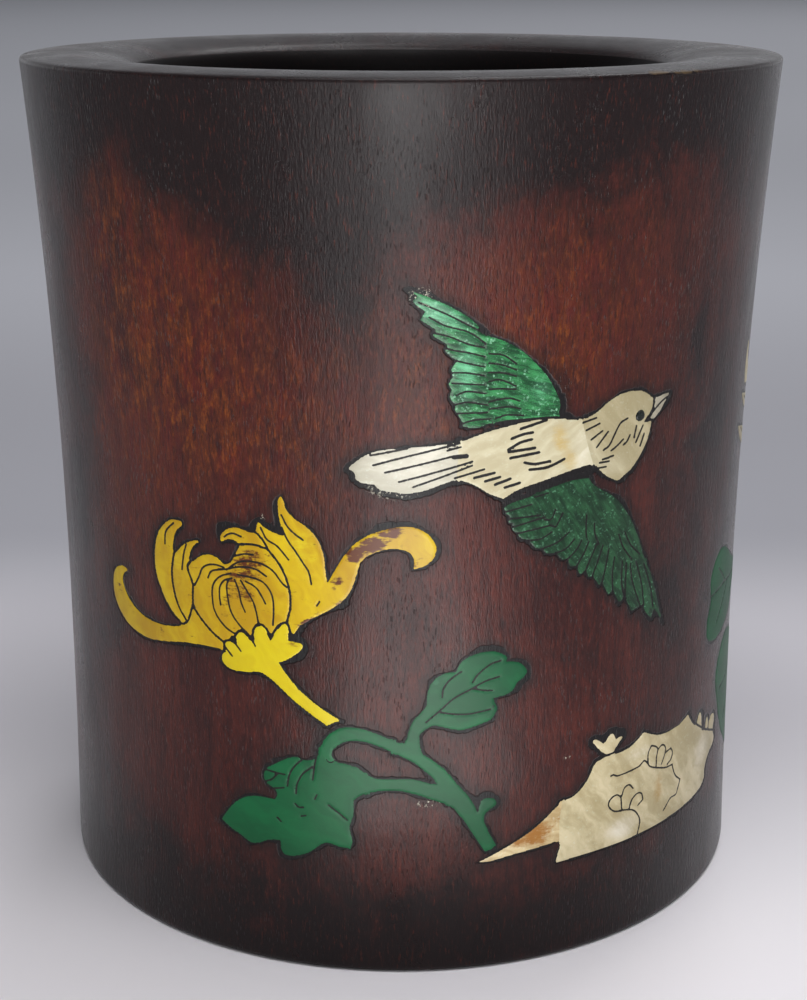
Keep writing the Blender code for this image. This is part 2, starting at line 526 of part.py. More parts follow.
def pot_profile():
    """The wall's section: down the side, in under the foot, up the bore, out over the rim."""
    side = [(side_radius(z), z) for z in side_heights()]
    foot = [(FOOT_RADIUS - 0.35, 0.35), (FOOT_RADIUS - FOOT_ROUND, 0.0)]
    shoulder = FOOT_RECESS + BASE_THICKNESS + FIT
    rebate = [(REBATE_RADIUS, 0.0), (REBATE_RADIUS, shoulder), (BORE_RADIUS, shoulder)]
    lip = [
        (BORE_RADIUS, 152.5), (BORE_RADIUS + 0.3, 154.8), (BORE_RADIUS + 1.0, 156.4),
        (BORE_RADIUS + 2.4, LIP_Z + 0.6),
    ]
    crown_radius = 64.0
    top = [
        (56.5, HEIGHT - 0.95), (60.0, HEIGHT - 0.3), (crown_radius, HEIGHT),
        (68.0, HEIGHT - 0.1), (71.0, HEIGHT - 0.5),
    ]
    return side + foot + rebate + lip + top


clear_scene()
pot = new_collection("brush_holder_pot")
cutters = new_collection("cutters")

# Wood
pot_wall = turned("pot_wall", pot_profile(), pot, closed=True)
base_low = FOOT_RECESS
base_high = FOOT_RECESS + BASE_THICKNESS
disc_radius = REBATE_RADIUS - FIT
hole_radius = PLUG_RADIUS + FIT
base_disc = turned(
    "base_disc",
    [
        (disc_radius, base_high), (disc_radius, base_low + 0.6), (disc_radius - 0.6, base_low),
        (hole_radius, base_low), (hole_radius, base_high),
    ],
    pot,
    closed=True,
)
base_plug = turned(
    "base_plug",
    [
        (0.0, base_high + 0.4), (PLUG_RADIUS - 5.0, base_high + 0.3), (PLUG_RADIUS, base_high),
        (PLUG_RADIUS, base_low), (0.0, base_low),
    ],
    pot,
    closed=False,
)
for piece in (pot_wall, base_disc, base_plug):
    piece.data.materials.append(material(piece.name, WOOD, 0.32))

# Inlays, each cut from the same turned layer
inlay_layer = layer("inlay_layer", INLAY_THICKNESS, 0.0, cutters)
for name, (group, colour, roughness) in INLAYS.items():
    outline = smooth_outline(OUTLINES[name])
    piece = boolean(prism(name, [outline], group, pot), inlay_layer, "INTERSECT")
    piece.data.materials.clear()
    piece.data.materials.append(material(name, colour, roughness))

# One pocket for each group: the grown outlines joined, cut to a deeper layer
pocket_layer = layer("pocket_layer", POCKET_DEPTH, 3.0, cutters)
for group in AZIMUTH:
    rooms = []
    for name in INLAYS:
        if INLAYS[name][0] == group:
            envelope = [point for point in OUTLINES[name] if NOTCH not in point]
            rooms.append(grown(smooth_outline(envelope), POCKET_GAP))
    pocket = boolean(prism(group + "_pocket", rooms, group, cutters), pocket_layer, "INTERSECT")
    boolean(pot_wall, pocket, "DIFFERENCE")

# The eye sits in a round socket through the head
socket = prism("eye_socket", [disc(EYE_CENTRE, EYE_SOCKET_RADIUS)], "bird", cutters)
boolean(bpy.data.objects["bird_head"], socket, "DIFFERENCE")
eye = prism("bird_eye", [disc(EYE_CENTRE, EYE_RADIUS)], "bird", pot)
boolean(eye, inlay_layer, "INTERSECT")
eye.data.materials.clear()
eye.data.materials.append(material("bird_eye", HORN, 0.2))

for obj in cutters.objects:
    obj.hide_render = True
    obj.display_type = "WIRE"

# Round faces shaded smooth, edges left sharp
for obj in pot.objects:
    obj.data.shade_smooth()
    shape = bmesh.new()
    shape.from_mesh(obj.data)
    for edge in shape.edges:
        edge.smooth = len(edge.link_faces) == 2 and edge.calc_face_angle() < math.radians(30)
    shape.to_mesh(obj.data)
    shape.free()
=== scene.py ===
# %% [markdown]
# # An inlaid brush holder pot
# A log of dark hardwood is turned, bored and polished, and a picture is let into its side: a bird,
# a chrysanthemum, a leafy stem and a rock in shell, dyed shell and dyed bone, bedded in black
# mastic. The CAD frame gives every size. Each shown surface is worked out again, finer, as an
# array of points, and gets its own finish.

# %% Load the frame
import math

import bpy
import numpy as np
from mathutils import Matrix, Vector
from mathutils.geometry import delaunay_2d_cdt


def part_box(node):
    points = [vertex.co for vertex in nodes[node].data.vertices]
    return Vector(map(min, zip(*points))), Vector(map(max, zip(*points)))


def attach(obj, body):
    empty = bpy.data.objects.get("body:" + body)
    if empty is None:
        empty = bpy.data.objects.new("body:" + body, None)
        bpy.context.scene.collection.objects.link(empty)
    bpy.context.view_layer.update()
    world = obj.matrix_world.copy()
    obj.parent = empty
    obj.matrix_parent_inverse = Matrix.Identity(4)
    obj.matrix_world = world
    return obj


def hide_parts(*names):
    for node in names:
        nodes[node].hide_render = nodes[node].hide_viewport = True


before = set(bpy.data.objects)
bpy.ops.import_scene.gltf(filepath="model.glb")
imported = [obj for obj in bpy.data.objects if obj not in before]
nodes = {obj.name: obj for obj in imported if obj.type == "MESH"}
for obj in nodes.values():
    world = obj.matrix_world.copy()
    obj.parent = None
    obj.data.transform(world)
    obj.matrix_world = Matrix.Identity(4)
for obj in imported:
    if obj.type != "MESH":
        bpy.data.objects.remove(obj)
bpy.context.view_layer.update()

# %% [markdown]
# ## Working in millimetres
# The arrays hold millimetres, and one helper scales them as it fills a mesh. It also stores extra
# numbers on the points, such as how far one is from an engraved line, for the finishes to read.

# %% A mesh from arrays
MM = 0.001


def piece_from(name, points, faces, numbers=None, flat_map=None):
    """A smooth mesh object from points in millimetres, faces, numbers per point and a UV map."""
    mesh = bpy.data.meshes.new(name)
    mesh.from_pydata((np.asarray(points) * MM).tolist(), [], [list(face) for face in faces])
    mesh.validate()
    mesh.shade_smooth()
    mesh.set_sharp_from_angle(angle=math.radians(42))
    for key, values in (numbers or {}).items():
        layer = mesh.attributes.new(key, "FLOAT", "POINT")
        layer.data.foreach_set("value", np.asarray(values, np.float32))
    if flat_map is not None:
        corners = np.empty(len(mesh.loops), np.int32)
        mesh.loops.foreach_get("vertex_index", corners)
        layer = mesh.uv_layers.new(name="plane")
        layer.data.foreach_set("uv", np.asarray(flat_map, np.float32)[corners].ravel())
    obj = bpy.data.objects.new(name, mesh)
    bpy.context.scene.collection.objects.link(obj)
    return obj


def soft_step(values, low, high):
    """0 below low, 1 above high, and the smooth cubic 3t^2 - 2t^3 between them."""
    t = np.clip((np.asarray(values, float) - low) / (high - low), 0, 1)
    return t * t * (3 - 2 * t)


# %% [markdown]
# ## The pot's side
# The side was turned with a slight waist. Its radius is one parabola below the waist and another
# above it, with the same numbers as the frame, so the fine surface lies on the frame's coarse one.
# Every inlay uses the same function, and so sits flush.

# %% Radius of the side at a height
HEIGHT, RIM_RADIUS, RIM_Z = 160.0, 72.35, 159.15
WAIST_RADIUS, WAIST_Z, FOOT_RADIUS, FOOT_ROUND = 68.1, 54.0, 68.8, 1.2
BORE_RADIUS, REBATE_RADIUS, SHOULDER_Z = 50.0, 57.0, 10.8


def side_radius(z):
    """The waist's radius, plus a flare that grows with the square of the distance from the waist."""
    z = np.asarray(z, float)
    below = (FOOT_RADIUS - WAIST_RADIUS) * ((WAIST_Z - z) / WAIST_Z) ** 2
    above = (RIM_RADIUS - WAIST_RADIUS) * ((z - WAIST_Z) / (RIM_Z - WAIST_Z)) ** 2
    return WAIST_RADIUS + np.where(z < WAIST_Z, below, above)


low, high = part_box("pot_wall")
print("frame rim radius", round(high.x / MM, 2), "and height", round(high.z / MM, 2))

# %% [markdown]
# ## Curves through a few points
# A Hermite curve runs through the points: at a smooth one its direction is that of the chord
# between the two neighbours, and at a corner it goes straight in. Every stretch is sampled at
# about the same spacing, all in one array.

# %% Hermite curve
def through(points, step, closed=True, corner=34.0):
    """Blend each stretch's two end points and two end directions by the cubic Hermite weights."""
    points = np.asarray(points, float)
    after, before = np.roll(points, -1, axis=0), np.roll(points, 1, axis=0)
    if not closed:
        after[-1] = 2 * points[-1] - points[-2]
        before[0] = 2 * points[0] - points[1]
    chord, back = after - points, points - before
    length = np.linalg.norm(chord, axis=1)
    turn = np.arctan2(back[:, 0] * chord[:, 1] - back[:, 1] * chord[:, 0], (back * chord).sum(1))
    sharp = (np.abs(turn) > math.radians(corner))[:, None]
    along = (after - before) / np.linalg.norm(after - before, axis=1)[:, None]
    straight = chord / length[:, None]
    leave = np.where(sharp, straight, along) * length[:, None]
    arrive = np.where(np.roll(sharp, -1, axis=0), straight, np.roll(along, -1, axis=0)) * length[:, None]
    stretches = len(points) if closed else len(points) - 1
    count = np.maximum(1, np.ceil(length[:stretches] / step)).astype(int)
    i = np.repeat(np.arange(stretches), count)
    t = ((np.arange(count.sum()) - np.repeat(np.cumsum(count) - count, count)) / count[i])[:, None]
    curve = (
        (2 * t**3 - 3 * t**2 + 1) * points[i]
        + (t**3 - 2 * t**2 + t) * leave[i]
        + (3 * t**2 - 2 * t**3) * after[i]
        + (t**3 - t**2) * arrive[i]
    )
    return curve if closed else np.vstack([curve, points[-1:]])


# %% Distance from points to a curve
def distance_to(points, path, closed, counted=None):
    """Least distance to a path's counted stretches; negative inside a closed path, by counting crossings."""
    start, end = path, np.roll(path, -1, axis=0)
    if not closed:
        start, end = path[:-1], path[1:]
    best = np.full(len(points), 1e9)
    inside = np.zeros(len(points), bool)
    for number, (a, b) in enumerate(zip(start, end)):
        way = b - a
        if counted is None or counted[number]:
            share = np.clip(((points - a) @ way) / max(way @ way, 1e-12), 0, 1)
            best = np.minimum(best, ((points - a - share[:, None] * way) ** 2).sum(1))
        if closed and a[1] != b[1]:
            crosses = (a[1] > points[:, 1]) != (b[1] > points[:, 1])
            inside ^= crosses & (points[:, 0] < a[0] + way[0] * (points[:, 1] - a[1]) / way[1])
    return np.where(inside, -1, 1) * np.sqrt(best)


# %% [markdown]
# ## Outlines of the inlays
# Each inlay's outline is read off the frame: of the faces of its node, those that look outwards
# and lie on the side are kept, and the edges that only one of them uses are followed round. Seen
# along the azimuth of its group, u runs round the pot and z up.

# %% Read an outline from its node
AZIMUTH = {"bird": 16, "flower": -19, "leaf": -4, "rock": 38, "side": 84}
GROUP = {
    "bird": "bird_tail bird_torso bird_head bird_beak bird_eye upper_wing_flight upper_wing_coverts "
    "lower_wing_coverts lower_wing_flight",
    "flower": "petal_curl_left petal_tall_left petal_small_left petal_top_curl flower_heart petals_right "
    "calyx_and_stem",
    "leaf": "stem_arch leaf_left leaf_twig stem_main leaf_upper",
    "rock": "rock_tip rock_face rock_floret rock_petal_inner rock_petal_middle rock_petal_outer",
    "side": "side_leaf_high side_leaf_low side_stem side_petal_low side_petal_middle side_petal_top "
    "side_bloom",
}
GROUP_OF = {name: group for group, names in GROUP.items() for name in names.split()}


def node_outline(name):
    """The border of the outward faces, as points (u, z) in order, without those on a straight line."""
    mesh = nodes[name].data
    mesh.calc_loop_triangles()
    places = np.array([vertex.co for vertex in mesh.vertices])
    faces = np.array([tuple(triangle.vertices) for triangle in mesh.loop_triangles])
    places, index = np.unique(np.round(places / MM, 3), axis=0, return_inverse=True)
    faces = index.reshape(-1)[faces]
    radius = np.hypot(places[:, 0], places[:, 1])
    near_side = radius > side_radius(places[:, 2]) - 0.35
    a, b, c = (places[faces[:, k]] for k in range(3))
    normal = np.cross(b - a, c - a)
    normal /= np.maximum(np.linalg.norm(normal, axis=1), 1e-9)[:, None]
    outward = (normal[:, :2] * a[:, :2]).sum(1) / np.hypot(a[:, 0], a[:, 1]) > 0.5
    outer = faces[near_side[faces].all(1) & outward]
    edges = {(face[k], face[(k + 1) % 3]) for face in outer.tolist() for k in range(3)}
    follow = {start: end for start, end in edges if (end, start) not in edges}
    loops = []
    while follow:
        start = min(follow)
        loop = [start]
        while loop[-1] in follow:
            loop.append(follow.pop(loop[-1]))
        loops.append(loop[:-1])
    azimuth = math.radians(AZIMUTH[GROUP_OF[name]])
    flat = np.stack([places[:, 0] * math.cos(azimuth) + places[:, 1] * math.sin(azimuth), places[:, 2]], 1)
    outline = flat[max(loops, key=len)]
    for _ in range(3):
        way = np.roll(outline, -1, axis=0) - np.roll(outline, 1, axis=0)
        off = outline - np.roll(outline, 1, axis=0)
        bend = np.abs(way[:, 0] * off[:, 1] - way[:, 1] * off[:, 0]) / np.maximum(np.hypot(*way.T), 1e-9)
        skip = (bend < 0.004) & (np.arange(len(outline)) % 2 == 0)
        outline = np.roll(outline[~skip], 1, axis=0)
    return outline


coarse = {name: node_outline(name) for name in GROUP_OF}
print("outline points:", sum(map(len, coarse.values())))

# %% [markdown]
# ## Hairline joints
# Neighbours in the picture nearly touch, and some meet so closely that their joint hardly shows.
# Each outline moves out across the frame's fitting gap until a thin line of mastic is left, or
# nothing at a close joint. That also keeps its edges crisp, so its points are marked.

# %% Close the joints
MEETS = """bird_tail+bird_torso bird_torso+bird_head rock_tip+rock_face leaf_left+leaf_twig
    leaf_twig+stem_main stem_arch+stem_main leaf_upper+stem_main stem_arch+leaf_left
    side_stem+side_leaf_low side_stem+side_leaf_high upper_wing_flight+upper_wing_coverts
    lower_wing_flight+lower_wing_coverts""".split()
fine = {name: through(points, 0.28) for name, points in coarse.items()}


def met(name):
    """Move out by half the way to a neighbour, less what stays open; not past 0.6 mm, nor in a notch."""
    outline = fine[name].copy()
    way = np.roll(outline, -1, axis=0) - np.roll(outline, 1, axis=0)
    outward = np.stack([way[:, 1], -way[:, 0]], 1) / np.maximum(np.hypot(*way.T), 1e-9)[:, None]
    shift, closed = np.zeros(len(outline)), np.zeros(len(outline), bool)
    for other in GROUP[GROUP_OF[name]].split():
        if other in (name, "bird_eye") or name == "bird_eye":
            continue
        close = name + "+" + other in MEETS or other + "+" + name in MEETS
        away = np.abs(distance_to(outline, fine[other], True))
        reach = np.maximum(away / 2 + (0.008 if close else -0.07), 0) * (1 - soft_step(away, 0.6, 0.85))
        shift = np.maximum(shift, reach)
        closed |= close & (away < 0.6)
    ahead, behind = np.roll(outline, -2, axis=0) - outline, outline - np.roll(outline, 2, axis=0)
    turn = np.arctan2(behind[:, 0] * ahead[:, 1] - behind[:, 1] * ahead[:, 0], (behind * ahead).sum(1))
    hold = 1 - soft_step(-turn, 0.2, 0.7)
    hold = np.min([np.roll(hold, k) for k in range(-3, 4)], axis=0)
    return outline + outward * (shift * hold)[:, None], closed


outlines, closed_joint = {}, {}
for name in fine:
    outlines[name], closed_joint[name] = met(name)
print("close joints:", len(MEETS))

# %% [markdown]
# ## Engraved lines
# Feathers, petals, veins and cracks are cut into the inlays with a graver and filled with ink. A
# line is a few points u z on its group's plane, and a comma ends it. A width stands before the
# lines it is for, and an inlay takes the parts of its group's lines that lie on it.

# %% The graver's lines
ENGRAVED = {
    "bird": {
        0.36: """-23.9 97.7 -17.9 99, -23.4 96 -19 97.3 -9.4 99.7, -21.5 94.75 -10.5 97.45, -11.4 98.5
    -9.2 99.05, -19.3 93.1 -7.2 96.4, -17 92.2 -7.2 95.7, -10.1 93.6 -5.1 94.95, 12.7 101.55 15.4 102.1, 13.45
    100.1 16.1 101, 14.5 98.3 16.75 99.6, 15.7 96.8 17.9 99.3, 17.1 96.1 18.25 96.75 19.5 99 20.5 100.5 21.95
    101.1, 18.7 95.75 20 96.5 21.2 97.45, 21.25 96.4 22 96.9 22.6 98, 23.95 99.4 23.55 97.4, 25.4 99.25 24
    96.45, 25.8 97.75 25 95.6, 16.45 93.9 18.4 93.9, 17 94.4 19.25 94.8, 16.25 93 17.8 93, 26.75 100.4 27.6
    101.4 29.5 102.9 30.75 103.5""",
        0.5: """-6.8 93.5 -3.3 94.2, -4.9 92.8 -2.3 93.4, -3.2 92.1 -0.5 92.95, -1.45 91.45 1.25 92.1, 1.1
    101.6 5.75 102.75, -0.5 100 1.5 100.6 3.3 100.8, -1 98.1 1.25 99.25 3.2 99.6, -0.9 97.7 3.8 98.05, -0.6
    96.6 4.6 97.2, 1.95 95.6 3.75 95.2 6.7 95.4, 2.95 94.25 6.25 94.4 9.4 95.5""",
        0.8: "-10.3 97.3 -8.2 97.4",
        0.3: """-16.5 123.8 -12.3 121.9 -9.6 120.5 -5.1 118, -14.8 121.3 -12.3 119.9 -8.2 118.6 -5.4
    116.6, -14.8 118.8 -11.8 118.1 -8.2 116.6 -5.7 116, -13.2 116.6 -11.2 115.8 -7.9 115.1 -5.5 114.4, -10.9
    114.1 -8.4 113.4 -5.5 112.7, -10.7 111.9 -8.4 111.75 -5.5 111.2, -10.9 110.1 -5.4 109.6, -10.1 108 -8.4
    108.6 -5.1 108.1, -10.5 106.3 -8.4 106.75 -4.8 106.1, -9.8 104.9 -4.8 104.8, -9.1 103.1 -7.1 103.6 -4
    103.7, -4.8 114.9 -2.3 114.5 0 112.9, -4.8 113.3 -2.6 112.9 0 111.9, -4.8 111.7 -2.3 111.5 0 110.8, -4.8
    110.1 -2.9 110.4 0 109.1, -4.6 108.8 -2.3 108.8 0 108.5, -4.6 106.7 -1.25 107.1 0.75 106.5, -4.6 105.4 -1
    105.6 1 105.1, -3.4 103.7 -1.5 104.2 1.5 103.9, -1.1 87.1 3.5 88, -0.6 85.75 5.2 85.9, -0.5 84.1 6.2 85.5,
    0.9 83 7 83.8, 2.9 81.5 5.5 81.6 7.5 82.6, 5.7 79.7 8.7 80.6 11 82.2, 8.4 78.6 10.4 79.2 12 80.7, 10.8
    77.2 12.4 78.6 13.4 80.2, 12.6 75.6 14 77.8 14.9 79.8, 14.4 74.4 15.6 77 16.6 79.1, 15.9 73.2 17 76 17.9
    78.6, 18 71.5 18.7 74.6 19.2 77.7, 20.4 69.4 20.2 73 20.5 75.9, 23 67.8 22.3 71 22.3 74.8, 23.5 65.5 23.2
    69.2 23.2 74.2, 26.75 65.5 24.75 70.5 24.1 73.9, 27.75 65 27 69.25 25.5 73.9, 30 64.25 29.25 68 27.25
    73.2, 4 89.25 6.6 89.75, 6 85 7.25 84.95 8.1 86.6, 7 83.9 8.25 83.4 9.5 85.75, 14.25 84.75 14.25 81.75
    14.5 80.25, 15.9 83 16.1 81 17 79, 21.25 80 22.25 77.5 24.5 74.5, 22.5 80.25 24 77.5 26.25 75.25""",
    },
    "flower": {
        0.34: """-19.9 81.7 -21.2 80.5 -21.9 79.4 -22.1 77.4, -17.25 78.2 -17.9 76.2 -18.4 73.3, -9.3 75.3
    -11 75.55 -12.6 75.3 -13.9 74.4 -14.6 72.9 -15.7 70.9, -9.2 75 -11 74.6 -12.1 74.1 -12.8 72.8, -8 74.4
    -9.9 73.7 -11.2 72.6 -11.9 71.2 -12 69.2 -11.7 67.1 -10.8 65.5 -9.2 64 -7.6 63.2, -7.8 73.6 -9.4 72.9
    -10.3 71.7 -10.5 70.1 -10.3 68.2, -8.3 73.4 -8.9 72.2 -8.8 69.8 -8.2 67.2 -6.7 65.1 -4.5 63.2, -7.3 73.4
    -6.6 71.6 -6.1 69.2 -5.4 67.6, -6.1 73.4 -4.9 71.6 -3.8 69.8 -3.2 67.8 -2.9 66, -5.2 73.4 -3.2 72.5 -2.1
    71 -1.4 69.7, -6.7 74.4 -3.8 74.2 -1.7 73.6 -0.2 71.6 0.1 69.2 -0.1 65.9, -8.8 75.1 -6.1 75.9 -3.2 75.9
    -1.1 74.8, -8.8 75 -6.7 76.6 -4.4 77.2 -2 77 0.1 76 1.8 73.9 2.7 73.2, -7.1 77.8 -5.2 78.4 -3.5 78.5, -9.1
    81 -8.3 81.6 -7.3 81.9 -5.7 81.5, -1.9 83.6 -0.8 81.6 0.9 80.7 2.1 79.5 3.1 78.3, 2 84.1 3 81.9 4.5 79.8
    5.6 78.1 6.7 76.3 7.1 74.2, 2 86.35 3 84.4 4.2 83.2 5.8 82.1, 8 70.3 8.5 71.1, -7.4 61.2 -6.5 60.1, -3.95
    62.2 -3.6 61.5, -9.5 60.2 -8.3 58.9""",
    },
    "leaf": {
        0.3: """9.1 49.1 11.7 51.4 13.9 53.4 17 55.05 19.2 56.2 21.7 56.9, 11.9 53.7 12.1 55.3 13.25 57
    15.2 58.4, 17.1 56.2 18.1 57.7 20.3 59.4 22 59.9, 17.3 55.05 18.9 54.6 20.6 54.4, 11.6 50.9 13.7 50.5 16.2
    50.3 18.7 50.6 20.3 50.9, -12.8 41.1 -14.1 39.8 -15.2 38 -15.7 35.5, -11.1 39.8 -12.8 38.3 -13.9 36.1
    -14.1 34.3, -10.2 42.3 -10.7 39.8 -11 37.3, -19.5 38.1 -17.3 37.8 -16.1 37.7, -19.9 35.8 -18.6 36.4 -17.7
    37.4, -19.1 34.5 -16.4 35.1, -10.3 34.5 -10.7 33.6, -14.3 32.3 -13.6 31.7 -12.8 31.8, -13.2 30 -12.4 30.2,
    -8.2 32.7 -6.1 31.1 -4.8 30, -17.7 29.1 -17 28.4""",
    },
    "rock": {
        0.32: """-4.4 33.3 -3.8 33.4 -2.7 32.9 2.8 33.2 3.5 33.6 4.4 33.9 5.9 32.3 7.5 31.5 9.2 30.9 10.9
    30.4 13 30.3 13.2 29.5 14.2 27.6 16 26.1 15.1 24.2 14.7 23.5 12.8 23.4 11.6 22.5 10.5 21.6, 5.4 33 5.3 35
    6.1 36.4 7.5 35.8 8.1 35 7.8 33.5 7.8 31.9, 8.4 35.1 9.2 35.5 10.1 35.2 10.6 34.2 10.1 32.8 9.4 31.6, 10.9
    33.6 12.3 33.9 12.9 32.8 12.4 31.5 11.3 31, -1.7 28.4 -2.9 29.1 -4.4 28.5 -4.7 27.4 -3.4 26 -1.5 25.5,
    -1.7 28.3 -1.4 25.6, -1.5 28.5 -0.9 29.9 0.3 30.25 1.4 29.2, 1 26.7 0.4 25.2, 0.4 25.2 1.1 26.9 2.5 27.8
    3.7 27.5 4.2 26.1 2.8 25.3, -2 25.7 -0.1 25.3 1.6 24.7 2.8 23.5 3.5 21.9 3 19.7""",
    },
    "side": {
        0.32: """-27 60 -20 60.5 -12 60 -4 59.8 4 60.4, -24 64.8 -21 62.5 -19 60.6, -24 53.5 -20 57 -17
    60.2, -14 54.5 -12 57.4 -10 59.8, 1 20.5 -3 27 -6 34 -7 41 -7 46, -14 29.5 -9.5 32 -6 34.5, -19.5 38 -13
    38.5 -7 39.8, 6.4 24 2 28 -3 27.6, -13 89.9 -6.5 87.2 0 85.9, -12 96 -6 94 -0.5 93, -10.5 98.6 -11.4 102,
    -6.2 97.6 -6 100.4, -1.4 97.8 -0.4 101.5, 12 88.5 9.5 94 8.2 103.5, 12 88.5 13.5 95 16 102.8, 12 88.5 16
    92.5 19.6 95.6, 12 88.5 8 91 6.4 94.5""",
    },
}


def engraved(group):
    """Every line of a group as (half width, sampled path)."""
    found = []
    for width, text in ENGRAVED[group].items():
        for line in text.split(","):
            points = np.array(line.split(), float).reshape(-1, 2)
            found.append((width / 2, through(points, 0.3, closed=False, corner=70)))
    return found


LINES = {group: engraved(group) for group in GROUP}
print("engraved lines:", {group: len(lines) for group, lines in LINES.items()})

# %% [markdown]
# ## Stains and tones
# Shell is never one colour: dye pools, rust and honey patches sit at certain places on a piece.
# Each patch is a bell curve, given as its centre, two half sizes, turn and strength. A piece
# stores the sum of its patches as a number that its finish reads.

# %% Patches
def patches(points, text):
    """Sum of strength times exp(-(across/size)^2 - (along/size)^2) over the patches in a text."""
    total = np.zeros(len(points))
    for row in filter(None, text.split(",")):
        u, z, wide, tall, degrees, strength = map(float, row.split())
        turned = math.radians(degrees)
        du, dz = points[:, 0] - u, points[:, 1] - z
        across = du * math.cos(turned) + dz * math.sin(turned)
        along = dz * math.cos(turned) - du * math.sin(turned)
        total += strength * np.exp(-((across / wide) ** 2) - (along / tall) ** 2)
    return total


STAINS = {
    "flower": """17.6 82 3.2 1.7 25 1.3, 22 84.3 3.2 0.9 0 0.8, 14.6 79.4 1.2 1.8 20 1.1, 25 78.6 1.3 0.8
    30 0.8, 11.8 75 1.6 0.9 40 0.9, -5 76.5 3.2 1 8 1.1, -4.6 74.5 3 1 0 0.95, -6 71.3 2.8 2.2 -30 0.8, -3.6
    78.6 2.2 1.4 0 0.8, -10 66.5 2.4 0.7 10 0.5, -15.5 74 1 1.2 0 0.4, -8.6 70.5 1.2 3 0 0.5, -23.6 59.9 0.8
    1.7 10 0.6, -34.8 65.8 0.8 2.2 0 0.4, -30.4 60.6 1.3 0.6 -50 0.4, 6.2 67.2 3.4 0.8 30 0.9, 12.6 71.6 2.4
    0.7 50 0.6, 3.8 62.6 1.4 0.9 -30 0.7""",
    "bird": """8.6 99.4 2.6 4.6 25 0.72, 10.6 94.6 2.2 2.4 25 0.55, -24.5 94 2.6 1.1 -20 0.25, 19.4 93.6
    2.4 1.8 20 0.25""",
    "leaf": "20.8 51.4 0.5 0.5 0 0.9, 9.6 36.6 2.6 0.8 -15 0.35",
    "rock": """-20.5 25.6 5.2 3.6 20 0.95, 8.5 27.2 2.2 5.2 0 0.75, -23.5 24.3 0.5 0.5 0 0.5, -9 31.5 5
    1.2 30 0.25""",
    "side": "0 22 4 3 0 0.3, 10 96 3 4 0 0.3",
}
# Tones are lighter patches. The finish lays them on most where the pearl's sheen is painted bright, so they
# are partly painted highlight, and on the upper wing painted highlights.
TONES = {
    "bird": """-18 96.5 8 5 0 1, 13.6 96.5 3.4 5 0 1, 19 93 4 2.4 0 0.9, 14.5 79.5 2 2 0 0.5, -13.5 122 5
    2.4 -25 0.9, -8.5 112 2.6 6 0 0.8, 4.5 108 3 3.5 0 0.5, 23.5 80 2 2.4 0 0.3, 28.5 68.5 1.8 4.6 20 0.35, 9
    88 4 1.6 15 0.3""",
    "flower": "5.6 80.6 2.6 4.2 10 0.6, -19 74 1.4 5 0 0.5, -14 63 4 2 0 0.4",
    "leaf": "10.8 56.6 0.5 0.5 0 1.5, 15 53 7 3 25 0.3",
    "rock": "-1 22.2 4.6 2.6 0 1, 25 29 4.5 4.5 0 0.8, -29.2 22.1 1.2 0.7 20 1, 2 36 6 1.6 0 0.6",
    "side": "-20 60 6 5 0 0.5",
}
print("groups with stains:", len(STAINS))

# %% [markdown]
# ## An inlay
# A piece of shell is sawn with a fretsaw, let in, and scraped level, so its edge is softly worn
# and its face follows the pot. Its outline and its engraved lines become the constraints of a
# triangulation that is filled with evenly spaced points. The height of each point above the side
# is the face, less a rounding near the edge, less a groove near a line.

# %% Fill, carve and bend one inlay
PROUD, SUNK, GRAIN = 0.07, 0.9, 0.36


def groove_points(outline, lines):
    """The points of the lines at least 0.14 mm inside the outline, and the edges along them."""
    points, edges = [], []
    for _, path in lines:
        keep = distance_to(path, outline, True) < -0.14
        number = len(points) + np.cumsum(keep) - 1
        points.extend(path[keep])
        both = keep[:-1] & keep[1:]
        edges.extend(zip(number[:-1][both].tolist(), number[1:][both].tolist()))
    return np.array(points).reshape(-1, 2), edges


def net(outline, lines):
    """Triangles over an outline: its own points, the groove points and evenly spaced rows."""
    grooves, edges = groove_points(outline, lines)
    low, high = outline.min(0), outline.max(0)
    rows = np.arange(low[1], high[1], GRAIN * 0.87)
    columns = np.arange(low[0], high[0], GRAIN)
    u, z = np.meshgrid(columns, rows)
    u = u + (np.arange(len(rows)) % 2)[:, None] * GRAIN / 2
    even = np.stack([u.ravel(), z.ravel()], 1)
    even = even[distance_to(even, outline, True) < -0.2]
    if len(grooves):
        clear = np.full(len(even), True)
        for _, path in lines:
            clear &= distance_to(even, path, False) > 0.17
        even = even[clear]
    points = np.vstack([outline, grooves, even])
    first = len(outline)
    edges = [(first + a, first + b) for a, b in edges]
    flat, _, faces, sources, _, _ = delaunay_2d_cdt(
        [Vector(point) for point in points], edges, [list(range(first))], 1, 1e-5)
    flat = np.array([tuple(point) for point in flat])
    place = {source: i for i, group in enumerate(sources) for source in group}
    border = [place[i] for i in range(first)]
    return flat, np.array(faces), np.array(border)


def on_side(flat, rise, azimuth):
    """A point (u, z) goes out along the azimuth until it is at the side's radius plus its rise."""
    azimuth = math.radians(azimuth)
    radius = side_radius(flat[:, 1]) + rise
    out = np.sqrt(radius**2 - flat[:, 0] ** 2)
    return np.stack([
        flat[:, 0] * math.cos(azimuth) + out * math.sin(azimuth),
        flat[:, 0] * math.sin(azimuth) - out * math.cos(azimuth),
        flat[:, 1],
    ], 1)


